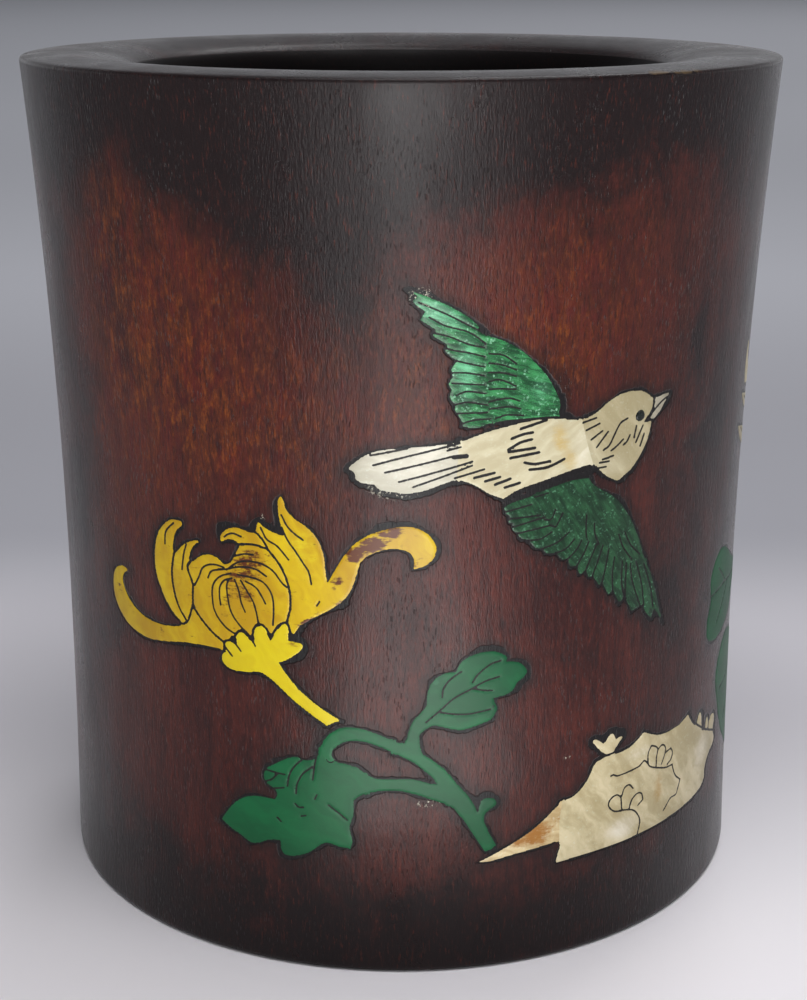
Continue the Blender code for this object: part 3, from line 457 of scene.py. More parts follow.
def carve(name, proud=PROUD):
    """A closed piece: a carved face, a wall round it and a plain back inside the wood."""
    group = GROUP_OF[name]
    outline, lines = outlines[name], LINES[group]
    flat, faces, border = net(outline, lines)
    free = ~(closed_joint[name] & np.roll(closed_joint[name], -1))
    edge = distance_to(flat, outline, True, free)
    edge = np.where(edge > 0, 0, -edge) if free.all() else np.abs(edge)
    ink = np.full(len(flat), 3.0)
    for half, path in lines:
        ink = np.minimum(ink, distance_to(flat, path, False) - half)
    face = proud - (proud + 0.05) * (1 - np.minimum(np.maximum(edge, 0) / 0.4, 1)) ** 2
    rise = face - 0.11 * (1 - soft_step(ink, -0.16, 0.1))
    top = on_side(flat, rise, AZIMUTH[group])
    back = on_side(flat[border], -SUNK, AZIMUTH[group])
    count, around = len(flat), len(border)
    under = count + np.arange(around)
    wall = np.stack([under, np.roll(under, -1), np.roll(border, -1), border], 1)
    corners = [Vector(point) for point in flat[border]]
    cap = delaunay_2d_cdt(corners, [], [list(range(around))], 1, 1e-5)[2]
    all_faces = faces.tolist() + wall.tolist()
    all_faces += [[int(under[i]) for i in reversed(face)] for face in cap]
    every = np.concatenate([np.arange(count), border])
    numbers = {
        "ink": np.clip(ink, -1, 3)[every], "edge": np.clip(edge, 0, 6)[every],
        "stain": patches(flat, STAINS[group])[every], "tone": patches(flat, TONES[group])[every],
    }
    plane = flat[every] / 100 + 0.5
    return piece_from("inlay_" + name, np.vstack([top, back]), all_faces, numbers, plane)


inlays = {}
for name in GROUP_OF:
    inlays[name] = carve(name, 0.4 if name == "bird_eye" else PROUD)
print("inlay triangles:", sum(len(piece.data.polygons) for piece in inlays.values()))

# %% [markdown]
# ## The turned wall
# The wall is one profile turned round the axis: up the side, over the rim, down the bore and
# round the foot. Its grid is close where the inlays are, because each point also stores its
# distance to the nearest inlay, and the black mastic is painted from that number.

# %% Grid of the wall
side_rows = np.concatenate([
    np.linspace(FOOT_ROUND, 13, 12, endpoint=False), np.linspace(13, 130, 182, endpoint=False),
    np.linspace(130, 158.4, 26),
])
rim_points = [
    (72.3, 158.4), (72.31, 158.95), (72.12, 159.3), (71.6, 159.52), (70, 159.72), (67, 159.95),
    (64, 160), (60, 159.75), (56.5, 159.15), (54, 158.5), (52.4, 157.8), (51.2, 156.7), (50.5, 155.4),
    (50.1, 153.9), (50, 152.5),
]
rim_rows = through(rim_points, 0.5, closed=False, corner=80)
bore_z = np.linspace(152, SHOULDER_Z, 40)
foot_points = [
    (BORE_RADIUS, SHOULDER_Z), (REBATE_RADIUS, SHOULDER_Z), (REBATE_RADIUS, 0.4), (57.4, 0), (67.4, 0),
    (68.1, 0.1), (68.5, 0.4), (68.72, 0.8),
]
profile = np.vstack([
    np.stack([side_radius(side_rows), side_rows], 1), rim_rows[1:],
    np.stack([np.full(39, BORE_RADIUS), bore_z[:-1]], 1), foot_points,
])
azimuths = np.concatenate([np.arange(-46, 114, 0.56), np.arange(114, 314, 3.125)])
print("wall grid:", len(azimuths), "columns by", len(profile), "rows")


def turned_grid(azimuths, profile):
    """x = r sin(azimuth), y = -r cos(azimuth), z = z; the grid closes both ways round."""
    a, (r, z) = np.radians(azimuths)[:, None], profile.T
    points = np.stack([r * np.sin(a), -r * np.cos(a), z + 0 * a], 2).reshape(-1, 3)
    i, j = np.meshgrid(np.arange(len(a)), np.arange(len(profile)), indexing="ij")
    right, up = (i + 1) % len(a), (j + 1) % len(profile)
    n = len(profile)
    faces = np.stack([i * n + j, right * n + j, right * n + up, i * n + up], 2).reshape(-1, 4)
    return points, faces


wall_points, wall_faces = turned_grid(azimuths, profile)

# %% Distance from the wall's points to the inlays
WIDER = {
    "bird": """-16 124.6 3 2 0 0.5, 9.4 105 1.2 5 15 0.9, -18 91 7 1.6 0 1, -26 94 2 2 0 0.9, 8 91.6 8 1.2
    12 1, 32 101 2 3 0 0.6, 24 90 5 2 50 0.5, 30 66 3 6 20 0.35""",
    "flower": """-9.5 83 2.4 2 0 1.5, -2 83.6 2.4 2 0 1.4, 4.6 62 1.8 3.6 0 1.2, 0.5 87 1 3 0 0.6, 27 82
    3.4 3.6 0 0.7, 20 86 5 1.2 0 0.7, 14 70 3 3 0 0.7, -22 84 4 2 0 0.4""",
    "leaf": """26 56 2.4 4 0 0.8, 20 62.5 4 1.4 0 0.7, 20 35 2.6 1.8 0 1, -20 41 6 2 30 0.5, -12 21.5 7
    1.4 0 0.5""",
    "rock": "-4 41.6 4.8 2.2 0 1.5, 24 36.5 3 1.6 -30 0.8, 31 31 1.6 3 0 0.6, -8 36 2 2 40 0.6",
    "side": "",
}
azimuth_of = np.degrees(np.arctan2(wall_points[:, 0], -wall_points[:, 1]))
radius_of = np.hypot(wall_points[:, 0], wall_points[:, 1])
outside = radius_of > 67.5
seat = np.full(len(wall_points), 6.0)
for group, names in GROUP.items():
    turn = np.radians(azimuth_of - AZIMUTH[group])
    near = np.flatnonzero((np.abs(np.degrees(turn)) < 46) & outside)
    u = radius_of[near] * np.sin(turn[near])
    flat = np.stack([u, wall_points[near, 2]], 1)
    gap = np.full(len(near), 6.0)
    for name in names.split():
        outline = outlines[name]
        close = ((flat > outline.min(0) - 6) & (flat < outline.max(0) + 6)).all(1)
        gap[close] = np.minimum(gap[close], distance_to(flat[close], outline, True))
    seat[near] = np.minimum(seat[near], gap - patches(flat, WIDER[group]) * (gap > 0))
print("wall points near an inlay:", int((seat < 1.5).sum()))

# %% Where the wood is dark, glowing or worn, and the bore's painted shade
# Darker: the stained top band, towards the foot, and broad patches round the side.
DARK = """0 157 200 13 0 1, 10 147 22 13 0 0.6, -24 141 14 13 0 0.75, -9 129 11 15 0 0.75, 0 5 200 17 0 1,
    -63 90 14 80 0 0.6, 72 90 20 70 0 0.55, 50 104 14 60 0 0.45, 28 112 16 30 0 0.15, -8 58 60 26 0 0.25, 150
    60 40 40 0 0.5, -140 90 30 50 0 0.4, -60 146 20 10 0 0.4"""
GLOW = """-36 116 16 22 0 0.8, -46 136 7 12 0 0.5, 24 122 14 20 0 0.42, 8 110 18 12 0 0.4, -20 98 16 12 0
    0.35, 48 112 12 26 0 0.15, -50 88 10 30 0 0.3, 120 110 26 24 0 0.6, -110 104 22 26 0 0.6, 178 104 30 22 0
    0.7"""
WORN = "41 159.3 5 0.55 0 0.8, 35 159.4 2.2 0.4 0 0.8"
CRUST = """-1 92 4 2.2 0 1, 3 124.6 2.4 2 0 1, 4 33.6 2.4 0.9 0 0.9, -20 85.7 0.7 0.5 0 1.2, 26 39.5 0.6
    0.6 0 1.2"""
around = np.stack([azimuth_of, wall_points[:, 2]], 1)
RIM_CREST, BORE_LIP, RIM_CORNER = 64, 51.6, 69
inside = radius_of < RIM_CREST
dark = np.clip(patches(around, DARK), 0, 1.2)
# Inside the crest the rim takes an even dark value; within the lip the wood is painted near-black, as painted
# shade of the deep bore.
dark[inside] = 0.95
dark[radius_of < BORE_LIP] = 1.6
glow = np.clip(patches(around, GLOW), 0, 1) * ~inside
dull = (radius_of < BORE_LIP) | (wall_points[:, 2] < 0.5)
worn = patches(around, WORN)
worn[radius_of < RIM_CORNER] = 0
crust = patches(around, CRUST)
wall = piece_from("wall", wall_points, wall_faces,
                  {"seat": seat, "dark": dark, "glow": glow, "worn": worn, "crust": crust, "dull": dull})
print("wall:", len(wall.data.polygons) * 2, "triangles")

# %% [markdown]
# ## Building shaders with little code
# A finish is a graph of nodes. These helpers make a node, feed it numbers or other nodes'
# outputs, and hand back its output, so that a finish reads like a recipe.

# %% Node helpers
def colour(red, green, blue):
    """A colour as seen on a screen, 0 to 255, turned into the linear numbers that shaders use."""
    values = np.array([red, green, blue]) / 255
    linear = np.where(values < 0.04045, values / 12.92, ((values + 0.055) / 1.055) ** 2.4)
    return (*linear.tolist(), 1.0)


class Graph:
    """A node tree with one short call for each kind of node that the finishes use."""

    def __init__(self, tree):
        self.tree = tree

    def feed(self, socket, value):
        """Link an output, or set a value; three numbers for a colour are as seen on a screen."""
        if isinstance(value, bpy.types.NodeSocket):
            self.tree.links.new(value, socket)
        elif socket.type == "RGBA" and len(value) == 3:
            socket.default_value = colour(*value)
        else:
            socket.default_value = value

    def fill(self, node, **inputs):
        for key, value in inputs.items():
            self.feed(node.inputs[key.replace("_", " ")], value)
        return node

    def node(self, kind, settings=None, **inputs):
        node = self.tree.nodes.new(kind)
        for key, value in (settings or {}).items():
            setattr(node, key, value)
        return self.fill(node, **inputs)

    def group(self, tree, **inputs):
        return self.node("ShaderNodeGroup", {"node_tree": tree}, **inputs)

    def place(self):
        return self.node("ShaderNodeTexCoord").outputs["Object"]

    def number(self, name):
        return self.node("ShaderNodeAttribute", {"attribute_name": name}).outputs["Fac"]

    def scaled(self, vector, x, y, z, turn=0.0):
        node = self.node("ShaderNodeMapping", Vector=vector, Scale=(x, y, z), Rotation=(0, 0, turn))
        return node.outputs["Vector"]

    def noise(self, vector, scale, detail=3.0, roughness=0.5, distortion=0.0):
        node = self.node("ShaderNodeTexNoise", Vector=vector, Scale=scale, Detail=detail,
                         Roughness=roughness, Distortion=distortion)
        return node.outputs["Fac"]

    def cells(self, vector, scale, output="Color", feature="F1"):
        node = self.node("ShaderNodeTexVoronoi", {"feature": feature}, Vector=vector, Scale=scale)
        return node.outputs[output]

    def math(self, operation, a, b):
        node = self.node("ShaderNodeMath", {"operation": operation})
        self.feed(node.inputs[0], a)
        self.feed(node.inputs[1], b)
        return node.outputs[0]

    def times(self, a, b):
        return self.math("MULTIPLY", a, b)

    def plus(self, a, b):
        return self.math("ADD", a, b)

    def less(self, a, b):
        return self.math("SUBTRACT", a, b)

    def step(self, value, low, high, to_low=0.0, to_high=1.0):
        node = self.node("ShaderNodeMapRange", {"interpolation_type": "SMOOTHSTEP"}, Value=value,
                         From_Min=low, From_Max=high, To_Min=to_low, To_Max=to_high)
        return node.outputs["Result"]

    def mix(self, amount, a, b):
        node = self.node("ShaderNodeMix", {"data_type": "RGBA"})
        for number, value in ((0, amount), (6, a), (7, b)):
            self.feed(node.inputs[number], value)
        return node.outputs[2]

    def bump(self, height, strength, distance):
        node = self.node("ShaderNodeBump", Height=height, Strength=strength, Distance=distance)
        return node.outputs["Normal"]


def new_group(name, inputs, outputs):
    """A node group with named sockets, its graph, its input node's outputs and its output node."""
    tree = bpy.data.node_groups.new(name, "ShaderNodeTree")
    for side, sockets in (("INPUT", inputs), ("OUTPUT", outputs)):
        for label, kind in sockets.items():
            tree.interface.new_socket(label, in_out=side, socket_type="NodeSocket" + kind)
    graph = Graph(tree)
    return tree, graph, tree.nodes.new("NodeGroupInput").outputs, tree.nodes.new("NodeGroupOutput")


def new_finish(name):
    """A material with only its shader, and the material's graph."""
    finish = bpy.data.materials.new(name)
    finish.use_nodes = True
    return finish, Graph(finish.node_tree), finish.node_tree.nodes["Principled BSDF"]


print("helpers ready")

# %% [markdown]
# ## Hardwood
# The log's fibres run up the pot. Noise with a small scale along z gives long streaks on the
# side and, with no further work, end grain on the rim. Pores are short dark dashes. A dark stain
# was rubbed in at the top, the wood is darker towards the foot, and reddish wood glows through between.

# %% Wood group
wood, g, given, result = new_group(
    "hardwood", {"Dark": "Float", "Glow": "Float"}, {"Color": "Color", "Height": "Float", "Polish": "Float"})
here = g.place()


def fibres(squeeze, *settings):
    """Noise on the object's coordinates with z times squeeze, so below 1 it is drawn out along the log."""
    return g.noise(g.scaled(here, 1, 1, squeeze), *settings)


broad = fibres(0.45, 36, 4, 0.65, 0.8)
streaks = fibres(0.1, 850, 4, 0.65)
mottle = fibres(0.6, 330, 6, 0.78, 0.5)
flecks = fibres(0.35, 1300, 3, 0.7)
grain = fibres(0.16, 2600, 3, 0.75)
ruddy = fibres(0.6, 140, 4, 0.7, 0.6)
clouds = fibres(0.8, 75, 5, 0.7, 0.4)
patchy = g.plus(g.times(mottle, 0.6), g.times(streaks, 0.4))
flame = g.times(given["Glow"], g.step(patchy, 0.4, 0.64))
# Dark darkens the wood: the stain of the side, and painted shade in the bore.
stained = g.plus(given["Dark"], g.times(g.less(mottle, 0.5), 0.9))
stained = g.plus(stained, g.times(g.less(clouds, 0.5), 1.9))
pores = g.cells(g.scaled(here, 1, 1, 0.2), 2300, "Distance")
pore = g.times(g.step(pores, 0.3, 0.1), g.step(fibres(0.4, 240, 3), 0.42, 0.6))
base = g.mix(g.step(broad, 0.36, 0.66), (42, 14, 12), (66, 26, 20))
for amount, tint in (
    (g.step(streaks, 0.4, 0.72, 0.0, 0.8), (33, 12, 12)),
    (g.step(flecks, 0.5, 0.75, 0.0, 0.4), (84, 36, 28)),
    (g.times(given["Glow"], g.step(ruddy, 0.45, 0.62, 0.0, 0.6)), (78, 14, 14)),
    (g.times(flame, 0.8), (94, 42, 10)),
    (g.times(flame, g.step(flecks, 0.46, 0.7, 0.0, 0.7)), (138, 74, 16)),
    (g.step(stained, 0.15, 0.95, 0.0, 0.95), (17, 12, 13)),
    (g.step(grain, 0.48, 0.34, 0.0, 0.6), (20, 8, 9)),
    (g.times(pore, 0.5), (9, 6, 6)),
    (g.step(grain, 0.56, 0.74, 0.0, 0.3), (112, 50, 34)),
):
    base = g.mix(amount, base, tint)
relief = g.less(g.plus(g.times(grain, 0.9), g.times(flecks, 0.6)), g.times(pore, 0.6))
g.fill(result, Color=base, Height=relief, Polish=g.step(fibres(0.4, 90, 3), 0.3, 0.7, -0.05, 0.07))
print("wood group:", len(wood.nodes), "nodes")

# %% [markdown]
# ## The wall's finish
# The wall takes the hardwood, and over it the black mastic where the distance to an inlay is
# less than an uneven width, a soft painted shade round that, a few pale crumbs of old filler,
# and a worn spot on the rim where the bare wood shows.

# %% Wall finish
wall_finish, g, shader = new_finish("polished_wall")
timber = g.group(wood, Dark=g.number("dark"), Glow=g.number("glow"))
here = g.place()
ragged = g.noise(here, 900, 3, 0.6)
width = g.plus(g.times(g.noise(here, 260, 2, 0.5), 1.5), g.times(ragged, 0.7))
mastic = g.step(g.less(g.number("seat"), g.less(width, 0.85)), 0.2, -0.12)
# Painted shade: a soft dark halo round each inlay's seat, beyond the mastic.
seat_shade = g.step(g.less(g.number("seat"), g.times(width, 1.5)), 0.9, -1.3, 0.0, 0.6)
skin = g.mix(seat_shade, timber.outputs["Color"], (20, 12, 12))
skin = g.mix(mastic, skin, (13, 11, 12))
crumbs = g.times(g.step(g.number("crust"), 0.25, 0.8), g.step(g.noise(here, 2300, 3, 0.7), 0.56, 0.64))
skin = g.mix(crumbs, skin, (168, 164, 148))
bare = g.step(g.times(g.number("worn"), g.noise(here, 420, 3, 0.7)), 0.27, 0.42)
skin = g.mix(g.times(bare, 0.45), skin, (104, 84, 56))
matt = g.plus(g.times(g.math("MAXIMUM", mastic, bare), 0.12), g.times(g.number("dull"), 0.4))
relief = g.less(timber.outputs["Height"], g.times(mastic, g.plus(0.6, g.times(ragged, 0.8))))
g.fill(shader, Base_Color=skin, Roughness=g.plus(g.plus(0.3, timber.outputs["Polish"]), matt))
g.fill(shader, Normal=g.bump(relief, 0.9, 0.00013), Specular_IOR_Level=0.17)
g.fill(shader, Coat_Weight=0.05, Coat_Roughness=0.12, Sheen_Weight=0.08, Sheen_Roughness=0.35)
wall.data.materials.append(wall_finish)
print("wall finish:", len(wall_finish.node_tree.nodes), "nodes")

# %% [markdown]
# ## The bore and the bottom
# The bore is painted nearly black, as painted shade of the deep hole, and never polished. It is
# the same turned surface as the side, so it takes a second material slot: every face within the
# bore's radius gets the darker finish.
# The bottom board and its plug are plain flat discs, which keep the frame's own meshes.

# %% Finish of the bore
LIP_RADIUS = 51.4
bore_finish, g, shader = new_finish("shaded_bore")
timber = g.group(wood, Dark=1.6, Glow=0.0)
# Mixed most of the way to near-black: painted shade of the deep bore.
g.fill(shader, Base_Color=g.mix(0.8, timber.outputs["Color"], (4, 3, 3)))
g.fill(shader, Roughness=g.plus(0.5, timber.outputs["Polish"]), Specular_IOR_Level=0.08)
g.fill(shader, Normal=g.bump(timber.outputs["Height"], 0.5, 0.0001))
wall.data.materials.append(bore_finish)
centres = wall_points[wall_faces].mean(1)
in_bore = np.hypot(centres[:, 0], centres[:, 1]) < LIP_RADIUS
wall.data.polygons.foreach_set("material_index", in_bore.astype(np.int32))
print("bore faces:", int(in_bore.sum()))

# %% Finish of the bottom board and its plug
board_finish, g, shader = new_finish("bottom_board")
timber = g.group(wood, Dark=0.75, Glow=0.1)
g.fill(shader, Base_Color=timber.outputs["Color"], Roughness=g.plus(0.42, timber.outputs["Polish"]))
g.fill(shader, Normal=g.bump(timber.outputs["Height"], 0.4, 0.0001))
BOARDS = ("base_disc", "base_plug")
for name in BOARDS:
    nodes[name].data.materials.clear()
    nodes[name].data.materials.append(board_finish)
print("board finish on", len(BOARDS), "nodes")

# %% [markdown]
# ## Engraving and edges, shared by every inlay
# Ink sits where the distance to a line is below zero, and grime near the sawn edge. Every inlay
# finish uses these masks and the fine scratches, so they are one group.

# %% Graver group
graver, g, given, result = new_group(
    "graver", {"Ragged": "Float"}, {"Ink": "Float", "Grime": "Float", "Scratches": "Float"})
here = g.place()
wobble = g.times(g.less(g.noise(here, 1400, 2, 0.6), 0.5), given["Ragged"])
sawn = g.plus(g.number("edge"), g.times(wobble, 2.0))
g.fill(result, Ink=g.step(g.plus(g.number("ink"), wobble), 0.07, -0.05), Grime=g.step(sawn, 0.2, 0.0))
g.fill(result, Scratches=g.noise(g.scaled(here, 1, 0.2, 1, 0.6), 2600, 2, 0.7))
print("graver group:", len(graver.nodes), "nodes")

# %% [markdown]
# ## Pearl
# Shell is laid down in thin wavy sheets. Cut across, they show as soft bands, and each small
# region catches the light at its own angle. A stretched noise gives the bands and a cell pattern
# the regions, both on the inlay's own flat map so they follow the piece. The bands' lightness is
# partly the shell's own and partly painted sheen, and the glints are painted highlights.
# region catches the light at its own angle. A stretched noise gives the bands and a cell pattern
# the regions, both on the inlay's own flat map so they follow the piece.

# %% Pearl group
pearl, g, given, result = new_group(
    "pearl",
    {"Deep": "Color", "Bright": "Color", "Scale": "Float", "Turn": "Float", "Sparkle": "Float"},
    {"Color": "Color", "Height": "Float", "Sheen": "Float", "Glint": "Float"})
scale, sparkle = given["Scale"], given["Sparkle"]
flat = g.node("ShaderNodeUVMap", {"uv_map": "plane"}).outputs["UV"]
turned = g.node("ShaderNodeVectorRotate", {"rotation_type": "Z_AXIS"}, Vector=flat, Angle=given["Turn"])
turned = turned.outputs["Vector"]
waves = g.node("ShaderNodeTexNoise", Vector=flat, Scale=18.0, Detail=2.0).outputs["Color"]
sway = g.node("ShaderNodeVectorMath", {"operation": "SCALE"}, Scale=g.math("DIVIDE", 2.0, scale))
g.feed(sway.inputs[0], waves)
bent = g.node("ShaderNodeVectorMath", {"operation": "ADD"})
g.feed(bent.inputs[0], turned)
g.feed(bent.inputs[1], sway.outputs["Vector"])
bands = g.noise(g.scaled(bent.outputs["Vector"], 0.16, 1, 1), scale, 4, 0.6)
flakes = g.cells(g.scaled(bent.outputs["Vector"], 0.45, 1, 1), g.times(scale, 0.55), feature="SMOOTH_F1")
flake = g.node("ShaderNodeSeparateColor", Color=flakes).outputs["Red"]
light = g.plus(g.times(bands, 0.7), g.times(flake, 0.3))
light = g.plus(light, g.times(sparkle, g.less(g.noise(turned, g.times(scale, 2.2), 3, 0.7), 0.45)))
g.fill(result, Color=g.mix(g.step(light, 0.34, 0.74), given["Deep"], given["Bright"]))
g.fill(result, Height=light, Sheen=g.step(light, 0.4, 0.8))
spark = g.node("ShaderNodeSeparateColor", Color=g.cells(turned, 330.0)).outputs["Green"]
where = g.step(g.noise(flat, 60, 3, 0.6), 0.4, 0.62)
g.fill(result, Glint=g.times(g.step(spark, 0.8, 1.0), g.times(where, sparkle)))
print("pearl group:", len(pearl.nodes), "nodes")

# %% One recipe for the inlay finishes
PEARL = (206, 222, 208)


def inlay_finish(name, tints, scale, turn, sparkle=0.0, lit=PEARL, roughness=0.3, bite=0.5, coat=0.12):
    """Pearl between two tints, and over it the tone and stain patches, painted glints, grime at the edge and
    ink.
    """
    deep, bright, stained, toned = tints
    finish, g, shader = new_finish(name)
    shell = g.group(pearl, Deep=deep, Bright=bright, Scale=scale, Turn=turn, Sparkle=sparkle).outputs
    cut = g.group(graver, Ragged=0.16).outputs
    flat = g.node("ShaderNodeUVMap", {"uv_map": "plane"}).outputs["UV"]
    burn = g.plus(g.noise(g.scaled(flat, 0.22, 1, 1), 150, 4, 0.8, 0.6), g.noise(flat, 34, 3, 0.7))
    speck = g.times(g.less(burn, 1.0), bite)
    tone = g.step(g.plus(g.number("tone"), g.times(speck, 0.6)), 0.2, 1.0)
    stain = g.step(g.plus(g.number("stain"), speck), 0.4, 1.0)
    # The lighter tone follows the painted sheen: partly painted highlight.
    body = g.mix(g.times(tone, g.plus(0.35, g.times(shell["Sheen"], 0.65))), shell["Color"], toned)
    body = g.mix(stain, body, stained)
    body = g.mix(shell["Glint"], body, lit)
    body = g.mix(g.times(cut["Grime"], 0.65), body, (26, 20, 16))
    body = g.mix(cut["Ink"], body, (20, 17, 15))
    gloss = g.plus(roughness, g.times(g.less(cut["Scratches"], 0.5), 0.12))
    relief = g.plus(g.times(shell["Height"], 0.5), g.times(cut["Scratches"], 0.12))
    g.fill(shader, Base_Color=body, Roughness=g.plus(gloss, g.times(cut["Ink"], 0.3)))
    g.fill(shader, Normal=g.bump(relief, 0.35, 0.00008), Specular_IOR_Level=0.22)
    g.fill(shader, Coat_Weight=coat, Coat_Roughness=0.2)
    return finish


# %% [markdown]
# ## The colours of the picture
# The bird is plain shell, whiter at the tail and warmer at the breast, with green dyed wings
# that sparkle, the upper wing painted lit and the lower one painted in shade. The leaves are dyed
# bone, even and flat. The petals are dyed yellow shell with rust stains, and the rock is thick pale
# shell with a golden tip.

# %% Finishes of the inlays
FINISHES = (
    ("white_shell", "bird_tail",
     ((152, 148, 131), (178, 173, 156), (137, 116, 85), (187, 182, 168)),
     42, 0.1, {"sparkle": 0.15}),
    ("warm_shell", "bird_torso",
     ((160, 151, 122), (181, 174, 147), (166, 141, 81), (193, 187, 166)),
     56, -0.5, {"sparkle": 0.1}),
    ("head_shell", "bird_head",
     ((141, 131, 100), (162, 152, 122), (141, 114, 73), (178, 171, 145)),
     60, 0.9, {"sparkle": 0.1}),
    ("grey_shell", "bird_beak",
     ((118, 112, 96), (162, 156, 139), (100, 93, 79), (179, 176, 160)),
     60, 0.6, {"sparkle": 0.2}),
    # One green shell as a lit copy and a shaded copy: painted light on the upper wing, painted shade on the
    # lower.
    ("lit_wing_shell", "upper_wing_flight upper_wing_coverts",
     ((8, 50, 26), (50, 122, 71), (4, 29, 17), (106, 178, 137)),
     210, 0.3, {"sparkle": 0.5, "lit": (145, 199, 166)}),
    ("shaded_wing_shell", "lower_wing_coverts lower_wing_flight",
     ((6, 33, 17), (29, 69, 41), (4, 21, 14), (48, 96, 66)),
     210, 0.95, {"sparkle": 0.4, "lit": (93, 145, 114)}),
    ("petal_shell",
     "petal_curl_left petal_tall_left petal_small_left petal_top_curl flower_heart petals_right",
     ((154, 120, 4), (181, 156, 8), (74, 32, 2), (189, 179, 29)),
     30, 1.2, {"roughness": 0.36, "bite": 2.4}),
    ("lemon_shell", "calyx_and_stem",
     ((170, 149, 6), (183, 166, 10), (112, 79, 10), (191, 179, 29)),
     26, 0.8, {"roughness": 0.38, "bite": 1.6}),
    ("green_bone",
     "stem_arch leaf_left leaf_twig stem_main leaf_upper side_leaf_high side_leaf_low side_stem",
     ((1, 64, 34), (4, 82, 44), (8, 33, 23), (39, 95, 66)),
     22, 0.4, {"roughness": 0.42, "bite": 0.8, "coat": 0.05}),
    ("gold_shell", "rock_tip",
     ((160, 137, 95), (197, 179, 139), (141, 95, 39), (208, 199, 174)),
     90, 0.3, {"sparkle": 0.2, "bite": 1.2}),
    ("rock_shell",
     "rock_face rock_floret rock_petal_inner rock_petal_middle rock_petal_outer side_petal_low "
     "side_petal_middle side_petal_top side_bloom",
     ((158, 145, 108), (196, 184, 150), (160, 128, 70), (214, 207, 190)),
     40, 0.9, {"sparkle": 0.15}),
)
for name, pieces, tints, scale, turn, settings in FINISHES:
    finish = inlay_finish(name, tints, scale, turn, **settings)
    for piece in pieces.split():
        inlays[piece].data.materials.append(finish)
print("inlay finishes:", len(FINISHES))

# %% The eye's horn
horn, g, shader = new_finish("eye_horn")
streaky = g.mix(g.noise(g.place(), 1200, 2), (10, 12, 12), (30, 36, 33))
gloss = g.step(g.noise(g.place(), 2000, 2), 0.3, 0.7, 0.2, 0.32)
g.fill(shader, Base_Color=streaky, Roughness=gloss, Specular_IOR_Level=0.2)
inlays["bird_eye"].data.materials.append(horn)
print("materials:", len(bpy.data.materials))

# %% [markdown]
# ## Riding on the frame
# Nothing moves on a pot, so every piece rides on the one body. Each fine piece stands for the
# coarse node of the same name.

# %% Ride and replace
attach(wall, "root")
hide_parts("pot_wall")
for name, piece in inlays.items():
    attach(piece, "root")
    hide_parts(name)
print("pieces:", len(inlays) + 1)

# %% [markdown]
# ## Floor, light and camera
# The camera looks a little down, so the polished side mirrors the table in front of it: two
# strips that shine up from the table draw the long pale reflection. A weak window in front and a
# wide light overhead shade the pot softly, a far light brightens the floor behind it, and the
# room's walls, brighter than its ceiling, draw the grey edges and the grey rim.

# %% Floor
SPOKES = 96
turns = np.linspace(0, 2 * math.pi, SPOKES + 1)[:-1]
rings = np.array([150, 400, 900, 2500, 9000.0])
circle = np.stack([np.cos(turns), np.sin(turns), 0 * turns], 1)
floor_points = np.vstack([[[0, 0, 0]], *(circle * ring for ring in rings)])
spokes = np.arange(SPOKES)
floor_faces = [[0, 1 + i, 1 + (i + 1) % SPOKES] for i in range(SPOKES)]
for ring in range(len(rings) - 1):
    a, b = 1 + ring * SPOKES + spokes, 1 + ring * SPOKES + (spokes + 1) % SPOKES
    floor_faces += np.stack([a, a + SPOKES, b + SPOKES, b], 1).tolist()
floor = piece_from("floor", floor_points, floor_faces)
cloth, g, shader = new_finish("pale_floor")
# The floor is pale in front of the pot and greyer far back; the darker band just behind the pot is painted
# shade.
along = g.node("ShaderNodeSeparateXYZ", Vector=g.place()).outputs["Y"]
pale = g.mix(g.step(along, -0.06, 0.06), (226, 223, 226), (184, 182, 187))
pale = g.mix(g.step(along, 0.1, 0.2), pale, (152, 152, 158))
pale = g.mix(g.step(along, 0.3, 0.7), pale, (178, 179, 185))
pale = g.mix(g.step(along, 1.0, 1.8), pale, (190, 191, 197))
g.fill(shader, Base_Color=pale, Roughness=0.8)
floor.data.materials.append(cloth)
print("floor:", len(floor_faces), "faces")

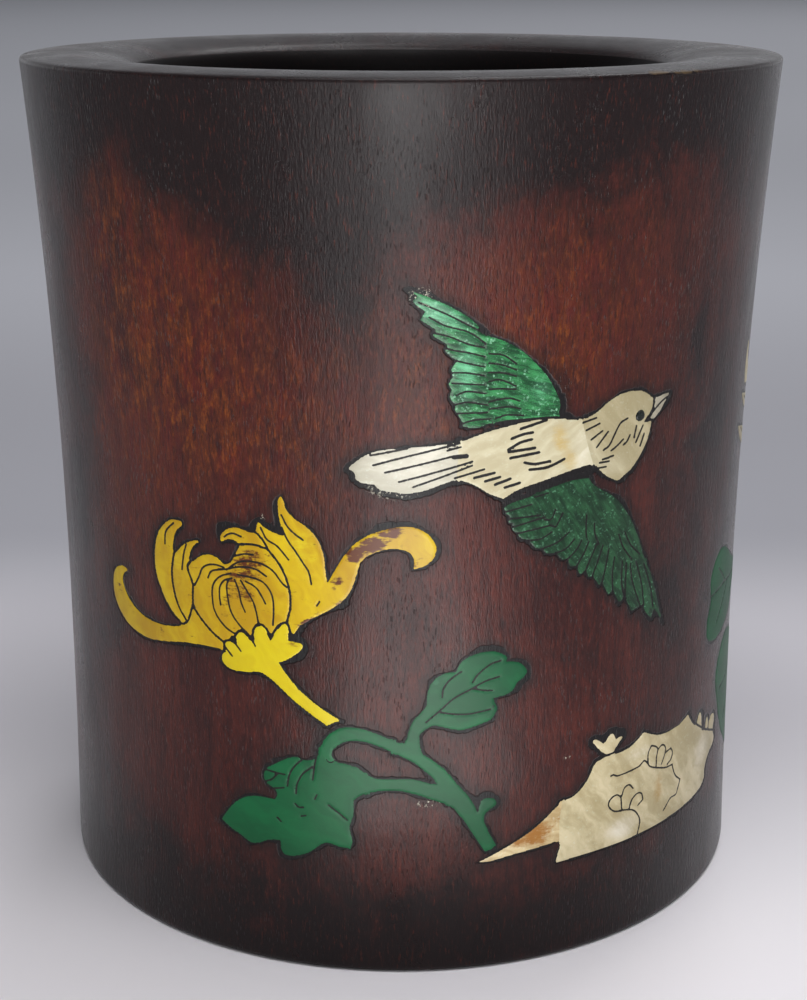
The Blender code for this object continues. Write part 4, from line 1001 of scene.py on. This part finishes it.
# %% Lights
def soft_light(name, place, aim, wide, tall, power, tint=(1, 1, 1)):
    """An area light of a width and a height that faces its aim point, and that no camera sees."""
    data = bpy.data.lights.new(name, "AREA")
    data.shape, data.size, data.size_y, data.energy, data.color = "RECTANGLE", wide, tall, power, tint
    light = bpy.data.objects.new(name, data)
    light.location = place
    light.rotation_euler = (Vector(aim) - Vector(place)).to_track_quat("-Z", "Y").to_euler()
    light.visible_camera = False
    bpy.context.scene.collection.objects.link(light)
    return light


soft_light("window", (0.02, -1.1, 0.30), (0, 0, 0.09), 0.22, 0.5, 2.2)
soft_light("sky", (0.15, -0.25, 1.3), (0, 0, 0.0), 0.9, 0.9, 14.0, (0.99, 0.98, 1.0))
soft_light("back_wall", (1.5, 3.5, 4.5), (0.3, 1.5, 0), 2.5, 2.0, 88.0, (0.98, 0.98, 1.0))
soft_light("table_glow", (0.012, -0.5, 0.003), (0.012, -0.5, 1), 0.12, 0.76, 1.9)
soft_light("far_table_glow", (0.02, -0.86, 0.003), (0.02, -0.86, 1), 0.28, 0.4, 7.0)
world = bpy.data.worlds.new("room")
world.use_nodes = True
room = Graph(world.node_tree)
direction = room.node("ShaderNodeTexCoord").outputs["Generated"]
height = room.node("ShaderNodeSeparateXYZ", Vector=direction).outputs["Z"]
walls, ceiling = (0.56, 0.57, 0.6, 1), (0.1, 0.105, 0.115, 1)
shade = room.mix(room.step(height, 0.12, 0.5), walls, ceiling)
room.fill(world.node_tree.nodes["Background"], Color=shade, Strength=1.0)
bpy.context.scene.world = world
print("lights:", len(bpy.data.lights))

# %% Camera
camera = bpy.data.objects.new("camera", bpy.data.cameras.new("camera"))
bpy.context.scene.collection.objects.link(camera)
camera.data.sensor_width = 36
camera.data.lens = 66.3
camera.data.shift_x = 0.0025
camera.location = (0, -0.36483, 0.17979)
camera.rotation_euler = (math.pi / 2 - 0.2945, 0, 0)
camera.data.clip_start = 0.01
bpy.context.scene.camera = camera
bpy.context.scene.view_settings.view_transform = "Standard"
print("camera at", tuple(round(value, 3) for value in camera.location))
